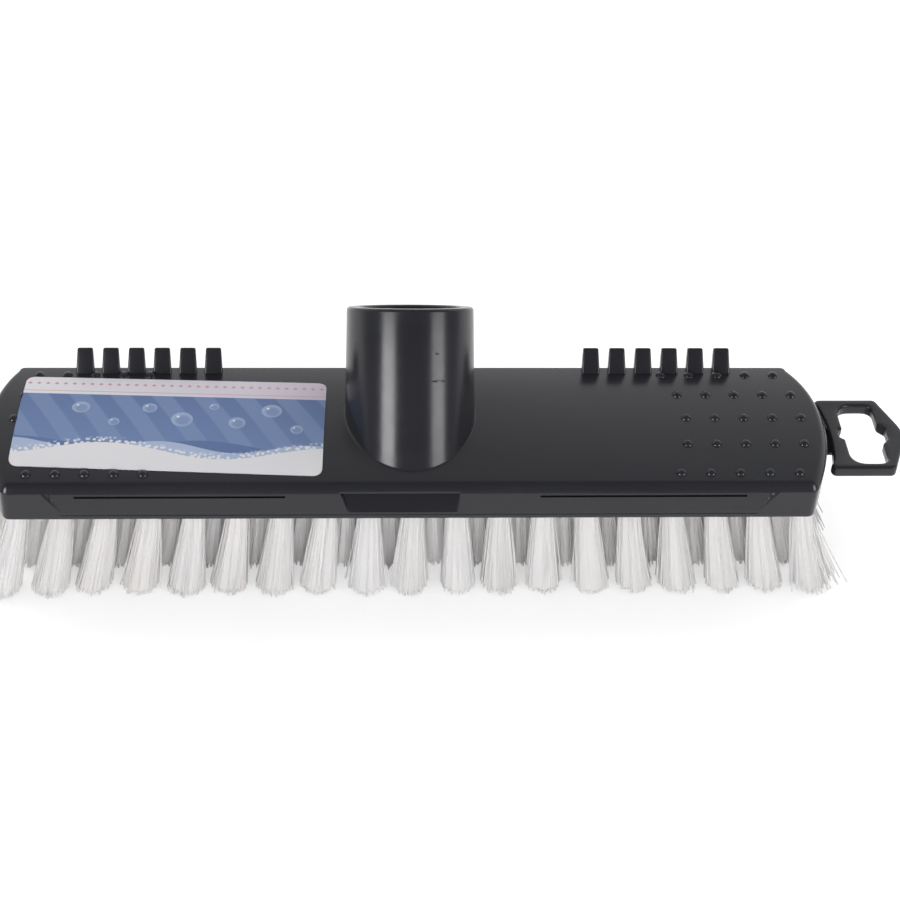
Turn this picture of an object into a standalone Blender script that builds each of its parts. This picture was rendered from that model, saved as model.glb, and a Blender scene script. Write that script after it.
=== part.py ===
# Deck brush: a long moulded block with a leaning handle socket, five rows of stiff bristles,
# cloth-holding teeth and studs on top, a label, and a hanging tab on a film hinge.
# Metres, +Z up. The brush stands on its bristle tips at z = 0. +X runs along the block to the
# hanging tab, and +Y is the side that the socket leans to. The shapes are laid out from the
# block's middle, and brush_frame then moves the whole brush so that its box is centred.

import math
import random

import bmesh
import bpy
from mathutils import Matrix, Vector

MM = 0.001

# Whole brush
TRIM = 28.0 * MM                   # bristle length below the block
FIT_GAP = 0.3 * MM                 # clearance between pieces that touch
OVERRUN = 6.0 * MM                 # how far a cutter runs past the surface it cuts
EMBED = 1.0 * MM                   # how far a joined shape reaches into its carrier
MERGE = 0.02 * MM                  # points closer than this are one point
UNIT = 1.0                         # side of a cube before it is scaled
SMOOTH_BELOW = math.radians(35)    # flatter edges than this are shaded smooth

# Block
LENGTH = 235.0 * MM                # at mid-width
WIDTH = 53.2 * MM
END_SAGITTA = 6.4 * MM             # how far the end arcs bulge
ARCH_RADIUS = 126.0 * MM           # curve of the top across the width
CREST = 13.8 * MM                  # block height at mid-width
EDGE_ROLL = 1.6 * MM               # rounding where the top meets the skirt
EDGE_ROLL_STEPS = 3
ROLLED_ABOVE = math.radians(40)     # sharper edges than this are rounded
END_STEPS = 16
ARCH_STEPS = 180

# Sunk panels and slots in the long sides of the skirt
PANEL_TOP_LENGTH = 201.4 * MM
PANEL_BOTTOM_LENGTH = 191.4 * MM
PANEL_DEPTH = 1.5 * MM
PANEL_LIP = 1.3 * MM               # lip left under the panel
PANEL_BELOW_ROLL = 0.36 * MM       # plain strip between the panel and the rolled edge
SLOT_NEAR = 35.0 * MM              # slot's inner end from mid-length
SLOT_FAR = 92.0 * MM
SLOT_HEIGHT = 0.7 * MM
SLOT_BELOW_TOP = 0.8 * MM          # under the panel's upper edge
SLOT_DEPTH = 1.0 * MM              # beyond the panel

# Handle socket
SOCKET_LEAN = math.radians(34.4)   # from the vertical, to +Y
SOCKET_Y = 2.4 * MM                # where its axis crosses the crest plane
SOCKET_REACH = 29.7 * MM           # from the crest plane to the mouth, along the axis
SOCKET_MOUTH_DIA = 35.5 * MM
SOCKET_FOOT_DIA = 36.4 * MM
SOCKET_WALL = 3.7 * MM             # at the mouth
SOCKET_RIM_ROUND = 1.2 * MM
SOCKET_DEPTH = 31.0 * MM           # bore depth
BORE_TAPER = 0.6 * MM              # how much narrower the bore's foot is, in radius
SOCKET_FILLET = 1.2 * MM
SOCKET_ROOT = 4.0 * MM             # how far below the crest the front of its foot reaches
SOCKET_STEPS = 40
RIM_STEPS = 3
FILLET_STEPS = 3
FILLET_SINK = 0.05 * MM            # how far the curve's edges lie inside what they join
SEARCH_LIMIT = 0.001 * MM          # how closely the joint with the top is found

# Cloth-holding teeth, in two groups along the back
TEETH_PER_GROUP = 6
TOOTH_PITCH = 7.5 * MM
TOOTH_FIRST_X = 54.3 * MM          # centre of the innermost tooth
TOOTH_Y = 21.5 * MM                # front face at the foot
TOOTH_WIDTH = 4.9 * MM
TOOTH_THICKNESS = 2.6 * MM
TOOTH_LENGTH = 8.0 * MM
TOOTH_ROUND = 0.6 * MM
TOOTH_TAPER = 0.85                 # tip size as a part of foot size
TOOTH_ROUNDED_ABOVE = math.radians(60)
TOOTH_ROUND_STEPS = 1

# Studs, in two fields near the ends
STUD_COLUMNS = 5
STUD_ROWS_EACH_SIDE = 2
STUD_PITCH_X = 8.15 * MM
STUD_PITCH_Y = 11.0 * MM
STUD_END_MARGIN = 6.8 * MM         # from the end outline to the last column
STUD_DIA = 2.7 * MM
STUD_TOP_DIA = 2.0 * MM
STUD_HEIGHT = 1.0 * MM
STUD_SIDES = 8

# Hanging tab and its film hinge
TAB_WIDTH = 30.3 * MM
TAB_THICKNESS = 3.65 * MM
TAB_BOTTOM = 4.5 * MM              # above the block's underside
TAB_GAP = 2.5 * MM                 # from the block's end to the tab
TAB_SIDE_LENGTH = 15.2 * MM        # along X at its outer corners
TAB_LENGTH = 20.4 * MM             # along X at its apex
TAB_INNER_ROUND = 2.0 * MM
TAB_OUTER_ROUND = 1.8 * MM
TAB_APEX_ROUND = 12.0 * MM
TAB_EDGE_ROUND = 0.4 * MM
TAB_ARC_STEPS = 8
HOLE_SIDE_MARGIN = 1.95 * MM       # from the tab's front and back edges
HOLE_INNER_MARGIN = 3.2 * MM       # from the tab's inner edge
HOLE_OUTER_MARGIN = 1.6 * MM       # from the tab's outer corners, along X
HOLE_ROUND = 3.0 * MM
HUMP_WIDTH = 8.5 * MM
HUMP_RISE = 2.0 * MM               # outer notch that finds the hook
HUMP_ROUND = 1.6 * MM
HUMP_TOP_SHARE = 0.5               # part of the notch's width that is full depth
NICK_WIDTH = 5.0 * MM
NICK_RISE = 1.3 * MM               # small notch in the inner edge
NICK_ROUND = 0.6 * MM
NICK_TOP_SHARE = 0.6
ROUND_STEPS = 4
LONGEST_CUT_SHARE = 0.49           # most of a side that a rounded corner may take
WEB_WIDTH = 11.0 * MM
WEB_THICKNESS = 1.5 * MM
WEB_LINE_THICKNESS = 0.5 * MM      # thickness left at the hinge line

# Label
LABEL_LENGTH = 85.2 * MM
LABEL_WIDTH = 39.5 * MM
LABEL_END_MARGIN = 8.3 * MM        # from the block's left end
LABEL_Y = -0.4 * MM                # its middle
LABEL_TURN = math.radians(-2.6)    # it is stuck on a little askew
LABEL_THICKNESS = 0.2 * MM
LABEL_CORNER_ROUND = 2.5 * MM
LABEL_CORNER_STEPS = 4

# Bristles: each tuft is four strands
LONG_ROW_TUFTS = 19
TUFT_PITCH_X = 12.0 * MM
TUFT_PITCH_Y = 10.5 * MM
ROWS_EACH_SIDE = 2
ROOT_SPREAD = 1.2 * MM             # strand centre from tuft centre at the root, each way
TIP_SPREAD = 3.4 * MM              # the same at the tips
STRAND_ROOT_SIDE = 1.8 * MM
STRAND_TIP_SIDE = 2.1 * MM
STRAND_EMBED = 1.5 * MM
STRAND_SCATTER = 0.45 * MM         # how far a tip strays from its regular place
TIP_CUT = 0.5 * MM                 # what the flat cut at the tips takes off
END_FLARE = 6.5 * MM               # how far the end tufts' tips lean out
SIDE_FLARE = 2.4 * MM              # how far the outer rows' tips lean out
BACKING_WIDTH = 6.4 * MM
BACKING_THICKNESS = 2.4 * MM
BACKING_END = 3.4 * MM             # backing beyond the last tuft's centre
SCATTER_SEED = 11

# Plain colours
BLOCK_COLOUR = (0.052, 0.055, 0.062)
BLOCK_ROUGHNESS = 0.42
TAB_COLOUR = (0.055, 0.058, 0.065)
TAB_ROUGHNESS = 0.45
LABEL_COLOUR = (0.55, 0.72, 0.85)
LABEL_ROUGHNESS = 0.5
BRISTLE_COLOUR = (0.72, 0.71, 0.69)
BRISTLE_ROUGHNESS = 0.5

# Levels and places that follow from the sizes above
UNDERSIDE = TRIM
CREST_Z = UNDERSIDE + CREST
ARCH_CENTRE_Z = CREST_Z - ARCH_RADIUS
HALF_LENGTH = LENGTH / 2
HALF_WIDTH = WIDTH / 2
END_RADIUS = (HALF_WIDTH ** 2 + END_SAGITTA ** 2) / (2 * END_SAGITTA)
SOCKET_AXIS = Vector((0, math.sin(SOCKET_LEAN), math.cos(SOCKET_LEAN)))
SOCKET_FRONT = Vector((0, -math.cos(SOCKET_LEAN), math.sin(SOCKET_LEAN)))
SOCKET_BASE = Vector((0, SOCKET_Y, CREST_Z))
SOCKET_FOOT_DEPTH = SOCKET_ROOT + SOCKET_FOOT_DIA / 2 * math.sin(SOCKET_LEAN)
SKIRT_HEIGHT = CREST - ARCH_RADIUS + math.sqrt(ARCH_RADIUS ** 2 - HALF_WIDTH ** 2)
PANEL_TOP = SKIRT_HEIGHT - EDGE_ROLL - PANEL_BELOW_ROLL
LABEL_X = -HALF_LENGTH + LABEL_END_MARGIN + LABEL_LENGTH / 2
TAB_Z = UNDERSIDE + TAB_BOTTOM
TAB_INNER_X = HALF_LENGTH + TAB_GAP
HINGE_X = HALF_LENGTH + TAB_GAP / 2
HINGE_Z = TAB_Z + WEB_LINE_THICKNESS / 2
FARTHEST_TUFT = (LONG_ROW_TUFTS - 1) / 2 * TUFT_PITCH_X
TIP_REACH = TIP_SPREAD + STRAND_TIP_SIDE / 2
BOX_LEFT = FARTHEST_TUFT + END_FLARE + TIP_REACH
BOX_RIGHT = TAB_INNER_X + TAB_LENGTH
BOX_FRONT = ROWS_EACH_SIDE * TUFT_PITCH_Y + SIDE_FLARE + TIP_REACH
BOX_BACK = (SOCKET_BASE + SOCKET_AXIS * SOCKET_REACH - SOCKET_FRONT * SOCKET_MOUTH_DIA / 2).y


def arch_z(y, lift=0.0):
    """Height of the arched top at y, or of a surface that lies lift above it."""
    radius = ARCH_RADIUS + lift
    return ARCH_CENTRE_Z + math.sqrt(radius ** 2 - y ** 2)


def end_x(y):
    """Distance from mid-length to the end arc at y."""
    return HALF_LENGTH - END_RADIUS + math.sqrt(END_RADIUS ** 2 - y ** 2)


def clear_scene():
    for item in list(bpy.data.objects):
        bpy.data.objects.remove(item, do_unlink=True)


def make_collection(name):
    collection = bpy.data.collections.new(name)
    bpy.context.scene.collection.children.link(collection)
    return collection


def make_material(name, colour, roughness):
    material = bpy.data.materials.new(name)
    material.use_nodes = True
    shader = material.node_tree.nodes["Principled BSDF"]
    shader.inputs["Base Color"].default_value = (*colour, 1.0)
    shader.inputs["Roughness"].default_value = roughness
    material.diffuse_color = (*colour, 1.0)
    return material


def add_object(name, mesh, collection):
    item = bpy.data.objects.new(name, mesh)
    collection.objects.link(item)
    return item


def mesh_object(name, shape, collection):
    """Object made from a bmesh, which is freed."""
    mesh = bpy.data.meshes.new(name)
    bmesh.ops.recalc_face_normals(shape, faces=shape.faces)
    shape.to_mesh(mesh)
    shape.free()
    return add_object(name, mesh, collection)


def box(name, low, high, collection):
    """Box between two corners."""
    low, high = Vector(low), Vector(high)
    shape = bmesh.new()
    bmesh.ops.create_cube(shape, size=UNIT)
    size = high - low
    bmesh.ops.scale(shape, vec=size, verts=shape.verts)
    bmesh.ops.translate(shape, vec=(low + high) / 2, verts=shape.verts)
    return mesh_object(name, shape, collection)


def flat_solid(name, outlines, thickness, matrix, collection, edge=0.0):
    """Solid of flat closed outlines, the first one outer and the rest holes, thick about its plane.

    Its edges are chamfered by the edge size.
    """
    curve = bpy.data.curves.new(name, "CURVE")
    curve.dimensions = "2D"
    curve.fill_mode = "BOTH"
    curve.extrude = thickness / 2 - edge
    curve.bevel_depth = edge
    curve.bevel_resolution = 0
    curve.offset = -edge
    for outline in outlines:
        spline = curve.splines.new("POLY")
        spline.points.add(len(outline) - 1)
        for point, (x, y) in zip(spline.points, outline):
            point.co = (x, y, 0, 1)
        spline.use_cyclic_u = True
    guide = add_object(name + "_outline", curve, collection)
    guide.matrix_world = matrix
    bpy.context.view_layer.update()
    evaluated = guide.evaluated_get(bpy.context.evaluated_depsgraph_get())
    mesh = bpy.data.meshes.new_from_object(evaluated)
    mesh.name = name
    shape = bmesh.new()
    shape.from_mesh(mesh)
    bmesh.ops.remove_doubles(shape, verts=shape.verts, dist=MERGE)
    bmesh.ops.recalc_face_normals(shape, faces=shape.faces)
    shape.to_mesh(mesh)
    shape.free()
    item = add_object(name, mesh, collection)
    item.matrix_world = guide.matrix_world.copy()
    bpy.data.objects.remove(guide, do_unlink=True)
    return item


def as_cutter(item):
    item.hide_render = True
    item.display_type = "WIRE"
    return item


def boolean(item, other, operation):
    modifier = item.modifiers.new(other.name, "BOOLEAN")
    modifier.operation = operation
    modifier.object = as_cutter(other)
    modifier.solver = "EXACT"


def bevel(item, width, segments, angle):
    modifier = item.modifiers.new("rounded_edges", "BEVEL")
    modifier.width = width
    modifier.segments = segments
    modifier.limit_method = "ANGLE"
    modifier.angle_limit = angle


def weld(item):
    """Merges points that a modifier left on one place."""
    modifier = item.modifiers.new("weld", "WELD")
    modifier.merge_threshold = MERGE


def finish_node(item, material):
    item.data.materials.clear()
    item.data.materials.append(material)
    item.data.shade_smooth()
    item.data.set_sharp_from_angle(angle=SMOOTH_BELOW)


def arc(centre, radius, start, end, steps):
    """Points of an arc in a plane, both ends included."""
    points = []
    for i in range(steps + 1):
        angle = start + (end - start) * i / steps
        points.append((centre[0] + radius * math.cos(angle), centre[1] + radius * math.sin(angle)))
    return points


def rounded(corners, radii, steps):
    """Closed outline whose corners are rounded, each by its own radius."""
    points = []
    for i, corner in enumerate(corners):
        here = Vector(corner)
        before = Vector(corners[i - 1]) - here
        after = Vector(corners[(i + 1) % len(corners)]) - here
        shorter = min(before.length, after.length)
        cut = min(radii[i] / math.tan(before.angle(after) / 2), shorter * LONGEST_CUT_SHARE)
        start = here + before.normalized() * cut
        end = here + after.normalized() * cut
        for step in range(steps + 1):
            share = step / steps
            points.append(start * (1 - share) ** 2 + here * 2 * share * (1 - share) + end * share ** 2)
    return points


# Block

def block_plan():
    """Outline of the block seen from above: two straight sides and two bulging ends."""
    half_angle = math.asin(HALF_WIDTH / END_RADIUS)
    right = arc((HALF_LENGTH - END_RADIUS, 0), END_RADIUS, -half_angle, half_angle, END_STEPS)
    left = [(-x, -y) for x, y in right]
    return right + left


def arch_cylinder(name, lift, collection):
    """Long cylinder whose top is the arch, raised by lift."""
    shape = bmesh.new()
    side = Matrix.Rotation(math.pi / 2, 4, "Y")
    radius = ARCH_RADIUS + lift
    bmesh.ops.create_cone(shape, cap_ends=True, segments=ARCH_STEPS, radius1=radius, radius2=radius,
                          depth=LENGTH + 2 * OVERRUN, matrix=side)
    bmesh.ops.translate(shape, vec=(0, 0, ARCH_CENTRE_Z), verts=shape.verts)
    return mesh_object(name, shape, collection)


def socket_turned(name, profile, collection):
    """Shape turned about the socket's axis from (radius, height along the axis) points."""
    shape = bmesh.new()
    previous = None
    for radius, height in profile:
        vertex = shape.verts.new((radius, 0, height))
        if previous:
            shape.edges.new((previous, vertex))
        previous = vertex
    mesh = bpy.data.meshes.new(name)
    shape.to_mesh(mesh)
    shape.free()
    item = add_object(name, mesh, collection)
    item.location = SOCKET_BASE
    item.rotation_euler = (-SOCKET_LEAN, 0, 0)
    screw = item.modifiers.new("turned", "SCREW")
    screw.axis = "Z"
    screw.steps = SOCKET_STEPS
    screw.render_steps = SOCKET_STEPS
    screw.use_merge_vertices = True
    screw.merge_threshold = MERGE
    return item


def socket_radius(height):
    """Outer radius of the socket at a height above the crest plane along its axis."""
    share = height / SOCKET_REACH
    return (SOCKET_FOOT_DIA + (SOCKET_MOUTH_DIA - SOCKET_FOOT_DIA) * share) / 2


def socket_body(collection):
    rim = arc((SOCKET_MOUTH_DIA / 2 - SOCKET_RIM_ROUND, SOCKET_REACH - SOCKET_RIM_ROUND), SOCKET_RIM_ROUND,
              math.pi / 2, 0, RIM_STEPS)
    foot = -SOCKET_FOOT_DEPTH / math.cos(SOCKET_LEAN)
    profile = [(0, SOCKET_REACH)] + rim + [(socket_radius(0), 0), (socket_radius(0), foot), (0, foot)]
    return socket_turned("socket_body", profile, collection)


def socket_bore(collection):
    mouth = SOCKET_MOUTH_DIA / 2 - SOCKET_WALL
    lead = SOCKET_RIM_ROUND
    profile = [(0, SOCKET_REACH + OVERRUN), (mouth + lead + OVERRUN, SOCKET_REACH + OVERRUN)]
    profile += [(mouth, SOCKET_REACH - lead)]
    profile += [(mouth - BORE_TAPER, SOCKET_REACH - SOCKET_DEPTH), (0, SOCKET_REACH - SOCKET_DEPTH)]
    return socket_turned("socket_bore", profile, collection)


def socket_meets_arch(direction):
    """Height along the socket's axis where its wall, in one direction, meets the arch."""
    low, high = -SOCKET_FOOT_DIA, SOCKET_FOOT_DIA
    while high - low > SEARCH_LIMIT:
        height = (low + high) / 2
        point = SOCKET_BASE + SOCKET_AXIS * height + direction * socket_radius(0)
        if point.z > arch_z(point.y):
            high = height
        else:
            low = height
    return low


def socket_fillet(collection):
    """Hollow ring that fills the corner between the socket and the arch, lofted round the joint."""
    shape = bmesh.new()
    rings = []
    for i in range(SOCKET_STEPS):
        angle = 2 * math.pi * i / SOCKET_STEPS
        direction = Vector((math.cos(angle), 0, 0)) + SOCKET_FRONT * math.sin(angle)
        foot = socket_meets_arch(direction)
        corner = SOCKET_BASE + SOCKET_AXIS * foot + direction * (socket_radius(0) - FILLET_SINK)
        normal = Vector((0, corner.y, corner.z - ARCH_CENTRE_Z)).normalized()
        outward = (direction - normal * direction.dot(normal)).normalized()
        upper = corner + SOCKET_AXIS * SOCKET_FILLET
        lower = corner + outward * SOCKET_FILLET
        lower.z = arch_z(lower.y) - FILLET_SINK
        ring = []
        for step in range(FILLET_STEPS + 1):
            share = step / FILLET_STEPS
            ring.append(upper * (1 - share) ** 2 + corner * 2 * share * (1 - share) + lower * share ** 2)
        ring.append(lower - normal * EMBED)
        ring.append(corner - normal * EMBED - direction * EMBED)
        ring.append(upper - direction * EMBED)
        rings.append([shape.verts.new(point) for point in ring])
    for i, ring in enumerate(rings):
        following = rings[(i + 1) % SOCKET_STEPS]
        for j, vertex in enumerate(ring):
            k = (j + 1) % len(ring)
            shape.faces.new((vertex, ring[k], following[k], following[j]))
    return mesh_object("socket_fillet", shape, collection)


def teeth(collection):
    """Two groups of leaning blades, tapered to their tips."""
    shape = bmesh.new()
    length = TOOTH_LENGTH + EMBED
    lean = Matrix.Rotation(-SOCKET_LEAN, 4, "X")
    for side in (-1, 1):
        for i in range(TEETH_PER_GROUP):
            blade = bmesh.ops.create_cube(shape, size=UNIT)["verts"]
            for vertex in blade:
                taper = TOOTH_TAPER if vertex.co.z > 0 else 1.0
                vertex.co.x *= TOOTH_WIDTH * taper
                vertex.co.y = vertex.co.y * TOOTH_THICKNESS * taper + TOOTH_THICKNESS / 2
                vertex.co.z = vertex.co.z * length + length / 2 - EMBED
            x = side * (TOOTH_FIRST_X + i * TOOTH_PITCH)
            place = Matrix.Translation((x, TOOTH_Y, arch_z(TOOTH_Y + TOOTH_THICKNESS / 2)))
            bmesh.ops.transform(shape, matrix=place @ lean, verts=blade)
    item = mesh_object("cloth_teeth", shape, collection)
    bevel(item, TOOTH_ROUND, TOOTH_ROUND_STEPS, TOOTH_ROUNDED_ABOVE)
    return item


def under_label(x, y):
    """Whether a stud here would lie under the label, where the top is plain."""
    clear = STUD_DIA / 2 + FIT_GAP
    spot = Matrix.Rotation(-LABEL_TURN, 2) @ Vector((x - LABEL_X, y - LABEL_Y))
    return abs(spot.x) < LABEL_LENGTH / 2 + clear and abs(spot.y) < LABEL_WIDTH / 2 + clear


def studs(collection):
    """Two fields of small round studs, whose columns follow the end arcs."""
    shape = bmesh.new()
    slope = (STUD_DIA - STUD_TOP_DIA) / 2 / STUD_HEIGHT
    for side in (-1, 1):
        for row in range(-STUD_ROWS_EACH_SIDE, STUD_ROWS_EACH_SIDE + 1):
            y = row * STUD_PITCH_Y
            for column in range(STUD_COLUMNS):
                x = side * (end_x(y) - STUD_END_MARGIN - column * STUD_PITCH_X)
                if under_label(x, y):
                    continue
                middle = arch_z(y) + (STUD_HEIGHT - EMBED) / 2
                place = Matrix.Translation((x, y, middle)) @ Matrix.Rotation(math.pi / STUD_SIDES, 4, "Z")
                bmesh.ops.create_cone(shape, cap_ends=True, segments=STUD_SIDES,
                                      radius1=STUD_DIA / 2 + slope * EMBED, radius2=STUD_TOP_DIA / 2,
                                      depth=STUD_HEIGHT + EMBED, matrix=place)
    return mesh_object("end_studs", shape, collection)


def side_panels(collection):
    """Cutters for the sunk panel in each long side, with slanted ends."""
    cutters = []
    top = UNDERSIDE + PANEL_TOP
    bottom = UNDERSIDE + PANEL_LIP
    outline = [(-PANEL_BOTTOM_LENGTH / 2, bottom), (PANEL_BOTTOM_LENGTH / 2, bottom),
               (PANEL_TOP_LENGTH / 2, top), (-PANEL_TOP_LENGTH / 2, top)]
    for name, side in (("front_panel", -1), ("back_panel", 1)):
        middle = side * (HALF_WIDTH + (OVERRUN - PANEL_DEPTH) / 2)
        upright = Matrix.Translation((0, middle, 0)) @ Matrix.Rotation(math.pi / 2, 4, "X")
        cutters.append(flat_solid(name, [outline], PANEL_DEPTH + OVERRUN, upright, collection))
    return cutters


def side_slots(collection):
    """Cutters for the thin slots near the top of each panel."""
    shape = bmesh.new()
    top = UNDERSIDE + PANEL_TOP - SLOT_BELOW_TOP
    size = (SLOT_FAR - SLOT_NEAR, SLOT_DEPTH + OVERRUN, SLOT_HEIGHT)
    for side_x in (-1, 1):
        for side_y in (-1, 1):
            slot = bmesh.ops.create_cube(shape, size=UNIT)["verts"]
            bmesh.ops.scale(shape, vec=size, verts=slot)
            inner = HALF_WIDTH - PANEL_DEPTH - SLOT_DEPTH
            place = (side_x * (SLOT_NEAR + SLOT_FAR) / 2, side_y * (inner + size[1] / 2), top - SLOT_HEIGHT / 2)
            bmesh.ops.translate(shape, vec=place, verts=slot)
    return mesh_object("side_slots", shape, collection)


def row_layout(row):
    """Middle Y of a bristle row and its tufts' X places."""
    count = LONG_ROW_TUFTS - row % 2
    places = [(k - (count - 1) / 2) * TUFT_PITCH_X for k in range(count)]
    return row * TUFT_PITCH_Y, places


def backing_corners(row, clearance):
    """Two corners of the backing under a row, grown by a clearance on all sides but the open one."""
    y, places = row_layout(row)
    reach = places[-1] + BACKING_END + clearance
    half = BACKING_WIDTH / 2 + clearance
    low = (-reach, y - half, UNDERSIDE)
    high = (reach, y + half, UNDERSIDE + BACKING_THICKNESS + clearance)
    return low, high


def row_grooves(collection):
    cutters = []
    for row in range(-ROWS_EACH_SIDE, ROWS_EACH_SIDE + 1):
        low, high = backing_corners(row, FIT_GAP)
        low = (low[0], low[1], low[2] - OVERRUN)
        cutters.append(box("row_groove_%d" % (row + ROWS_EACH_SIDE + 1), low, high, collection))
    return cutters


def web_half(name, start, end, collection):
    """Half of the film hinge's web, full thickness at start and thin at the hinge line."""
    outline = [(start, TAB_Z), (end, TAB_Z), (end, TAB_Z + WEB_LINE_THICKNESS), (start, TAB_Z + WEB_THICKNESS)]
    upright = Matrix.Rotation(math.pi / 2, 4, "X")
    return flat_solid(name, [outline], WEB_WIDTH, upright, collection)


def build_block(parts, cutters, material):
    top = CREST_Z + OVERRUN
    bottom = UNDERSIDE - OVERRUN
    place = Matrix.Translation((0, 0, (top + bottom) / 2))
    block = flat_solid("brush_block", [block_plan()], top - bottom, place, parts)
    boolean(block, arch_cylinder("arch", 0.0, cutters), "INTERSECT")
    bevel(block, EDGE_ROLL, EDGE_ROLL_STEPS, ROLLED_ABOVE)
    weld(block)
    block.modifiers.new("flat_faces", "TRIANGULATE")
    boolean(block, socket_body(cutters), "UNION")
    weld(block)
    boolean(block, socket_fillet(cutters), "UNION")
    weld(block)
    boolean(block, socket_bore(cutters), "DIFFERENCE")
    weld(block)
    boolean(block, teeth(cutters), "UNION")
    boolean(block, studs(cutters), "UNION")
    for cutter in side_panels(cutters):
        boolean(block, cutter, "DIFFERENCE")
    boolean(block, side_slots(cutters), "DIFFERENCE")
    web = web_half("web_on_block", HALF_LENGTH - EMBED, HINGE_X - FIT_GAP / 2, cutters)
    boolean(block, web, "UNION")
    deep = UNDERSIDE - SOCKET_FOOT_DIA - SOCKET_FOOT_DEPTH
    under = box("under_cut", (-LENGTH, -WIDTH, deep), (LENGTH, WIDTH, UNDERSIDE), cutters)
    boolean(block, under, "DIFFERENCE")
    for groove in row_grooves(cutters):
        boolean(block, groove, "DIFFERENCE")
    finish_node(block, material)
    return block


# Hanging tab

def tab_outline():
    """Plate whose inner edge follows the block's end, with a shallow pointed outer end."""
    half = TAB_WIDTH / 2
    side = TAB_INNER_X + TAB_SIDE_LENGTH
    inner = end_x(half) + TAB_GAP
    corners = [(inner, -half), (side, -half), (TAB_INNER_X + TAB_LENGTH, 0), (side, half), (inner, half)]
    radii = [TAB_INNER_ROUND, TAB_OUTER_ROUND, TAB_APEX_ROUND, TAB_OUTER_ROUND, TAB_INNER_ROUND]
    points = rounded(corners, radii, ROUND_STEPS)
    reach = half - TAB_INNER_ROUND - EMBED
    for i in range(TAB_ARC_STEPS + 1):
        y = reach - 2 * reach * i / TAB_ARC_STEPS
        points.append(Vector((end_x(y) + TAB_GAP, y)))
    return points


def tab_hole():
    """Hanging slot with rounded ends, a notch in its outer edge and a smaller one in its inner edge."""
    half = TAB_WIDTH / 2 - HOLE_SIDE_MARGIN
    inner = TAB_INNER_X + HOLE_INNER_MARGIN
    outer = TAB_INNER_X + TAB_SIDE_LENGTH - HOLE_OUTER_MARGIN
    nick, nick_top = NICK_WIDTH / 2, NICK_WIDTH / 2 * NICK_TOP_SHARE
    hump, hump_top = HUMP_WIDTH / 2, HUMP_WIDTH / 2 * HUMP_TOP_SHARE
    corners = [(outer, half), (inner, half), (inner, nick), (inner - NICK_RISE, nick_top),
               (inner - NICK_RISE, -nick_top), (inner, -nick), (inner, -half), (outer, -half),
               (outer, -hump), (outer + HUMP_RISE, -hump_top), (outer + HUMP_RISE, hump_top), (outer, hump)]
    radii = [HOLE_ROUND] * 2 + [NICK_ROUND] * 4 + [HOLE_ROUND] * 2 + [HUMP_ROUND] * 4
    return rounded(corners, radii, ROUND_STEPS)


def build_tab(parts, cutters, material):
    """Plate on the film hinge, with its origin on the hinge line."""
    place = Matrix.Translation((0, 0, TAB_Z + TAB_THICKNESS / 2))
    outlines = [tab_outline(), tab_hole()]
    tab = flat_solid("hanging_tab", outlines, TAB_THICKNESS, place, parts, TAB_EDGE_ROUND)
    bpy.context.view_layer.update()
    hinge = Matrix.Translation((HINGE_X, 0, HINGE_Z))
    tab.data.transform(hinge.inverted() @ tab.matrix_world)
    tab.matrix_world = hinge
    web = web_half("web_on_tab", TAB_INNER_X + EMBED, HINGE_X + FIT_GAP / 2, cutters)
    boolean(tab, web, "UNION")
    finish_node(tab, material)
    return tab


# Label

def build_label(parts, cutters, material):
    """Thin sheet that follows the arch."""
    x, y = LABEL_LENGTH / 2, LABEL_WIDTH / 2
    corners = [(x, y), (-x, y), (-x, -y), (x, -y)]
    outline = rounded(corners, [LABEL_CORNER_ROUND] * len(corners), LABEL_CORNER_STEPS)
    place = Matrix.Translation((LABEL_X, LABEL_Y, CREST_Z)) @ Matrix.Rotation(LABEL_TURN, 4, "Z")
    label = flat_solid("label", [outline], CREST + OVERRUN, place, parts)
    boolean(label, arch_cylinder("label_top", FIT_GAP + LABEL_THICKNESS, cutters), "INTERSECT")
    boolean(label, arch_cylinder("label_back", FIT_GAP, cutters), "DIFFERENCE")
    finish_node(label, material)
    return label


# Bristles

def strands(row, collection):
    """Tapered strands of one row, four to a tuft, spreading towards their tips.

    The tufts lean out more the farther they stand from the brush's middle.
    """
    scatter = random.Random(SCATTER_SEED + row)
    shape = bmesh.new()
    y, places = row_layout(row)
    for x in places:
        lean = Vector((x / FARTHEST_TUFT * END_FLARE, row / ROWS_EACH_SIDE * SIDE_FLARE, 0))
        for side in (Vector((-1, -1, 0)), Vector((1, -1, 0)), Vector((1, 1, 0)), Vector((-1, 1, 0))):
            stray = Vector((scatter.uniform(-1, 1), scatter.uniform(-1, 1), 0)) * STRAND_SCATTER
            root = Vector((x, y, UNDERSIDE)) + side * ROOT_SPREAD
            tip = Vector((x, y, 0)) + side * TIP_SPREAD + lean + stray
            run = (tip - root) / TRIM
            strand = bmesh.ops.create_cube(shape, size=UNIT)["verts"]
            for vertex in strand:
                at_root = vertex.co.z > 0
                width = STRAND_ROOT_SIDE if at_root else STRAND_TIP_SIDE
                across = Vector((vertex.co.x, vertex.co.y, 0)) * width
                if at_root:
                    vertex.co = root - run * STRAND_EMBED + across
                else:
                    vertex.co = tip + run * TIP_CUT + across
    return mesh_object("strands_%d" % (row + ROWS_EACH_SIDE + 1), shape, collection)


def build_bristle_row(row, trim, parts, cutters, material):
    low, high = backing_corners(row, 0.0)
    item = box("bristle_row_%d" % (row + ROWS_EACH_SIDE + 1), low, high, parts)
    boolean(item, strands(row, cutters), "UNION")
    boolean(item, trim, "DIFFERENCE")
    finish_node(item, material)
    return item


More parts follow.
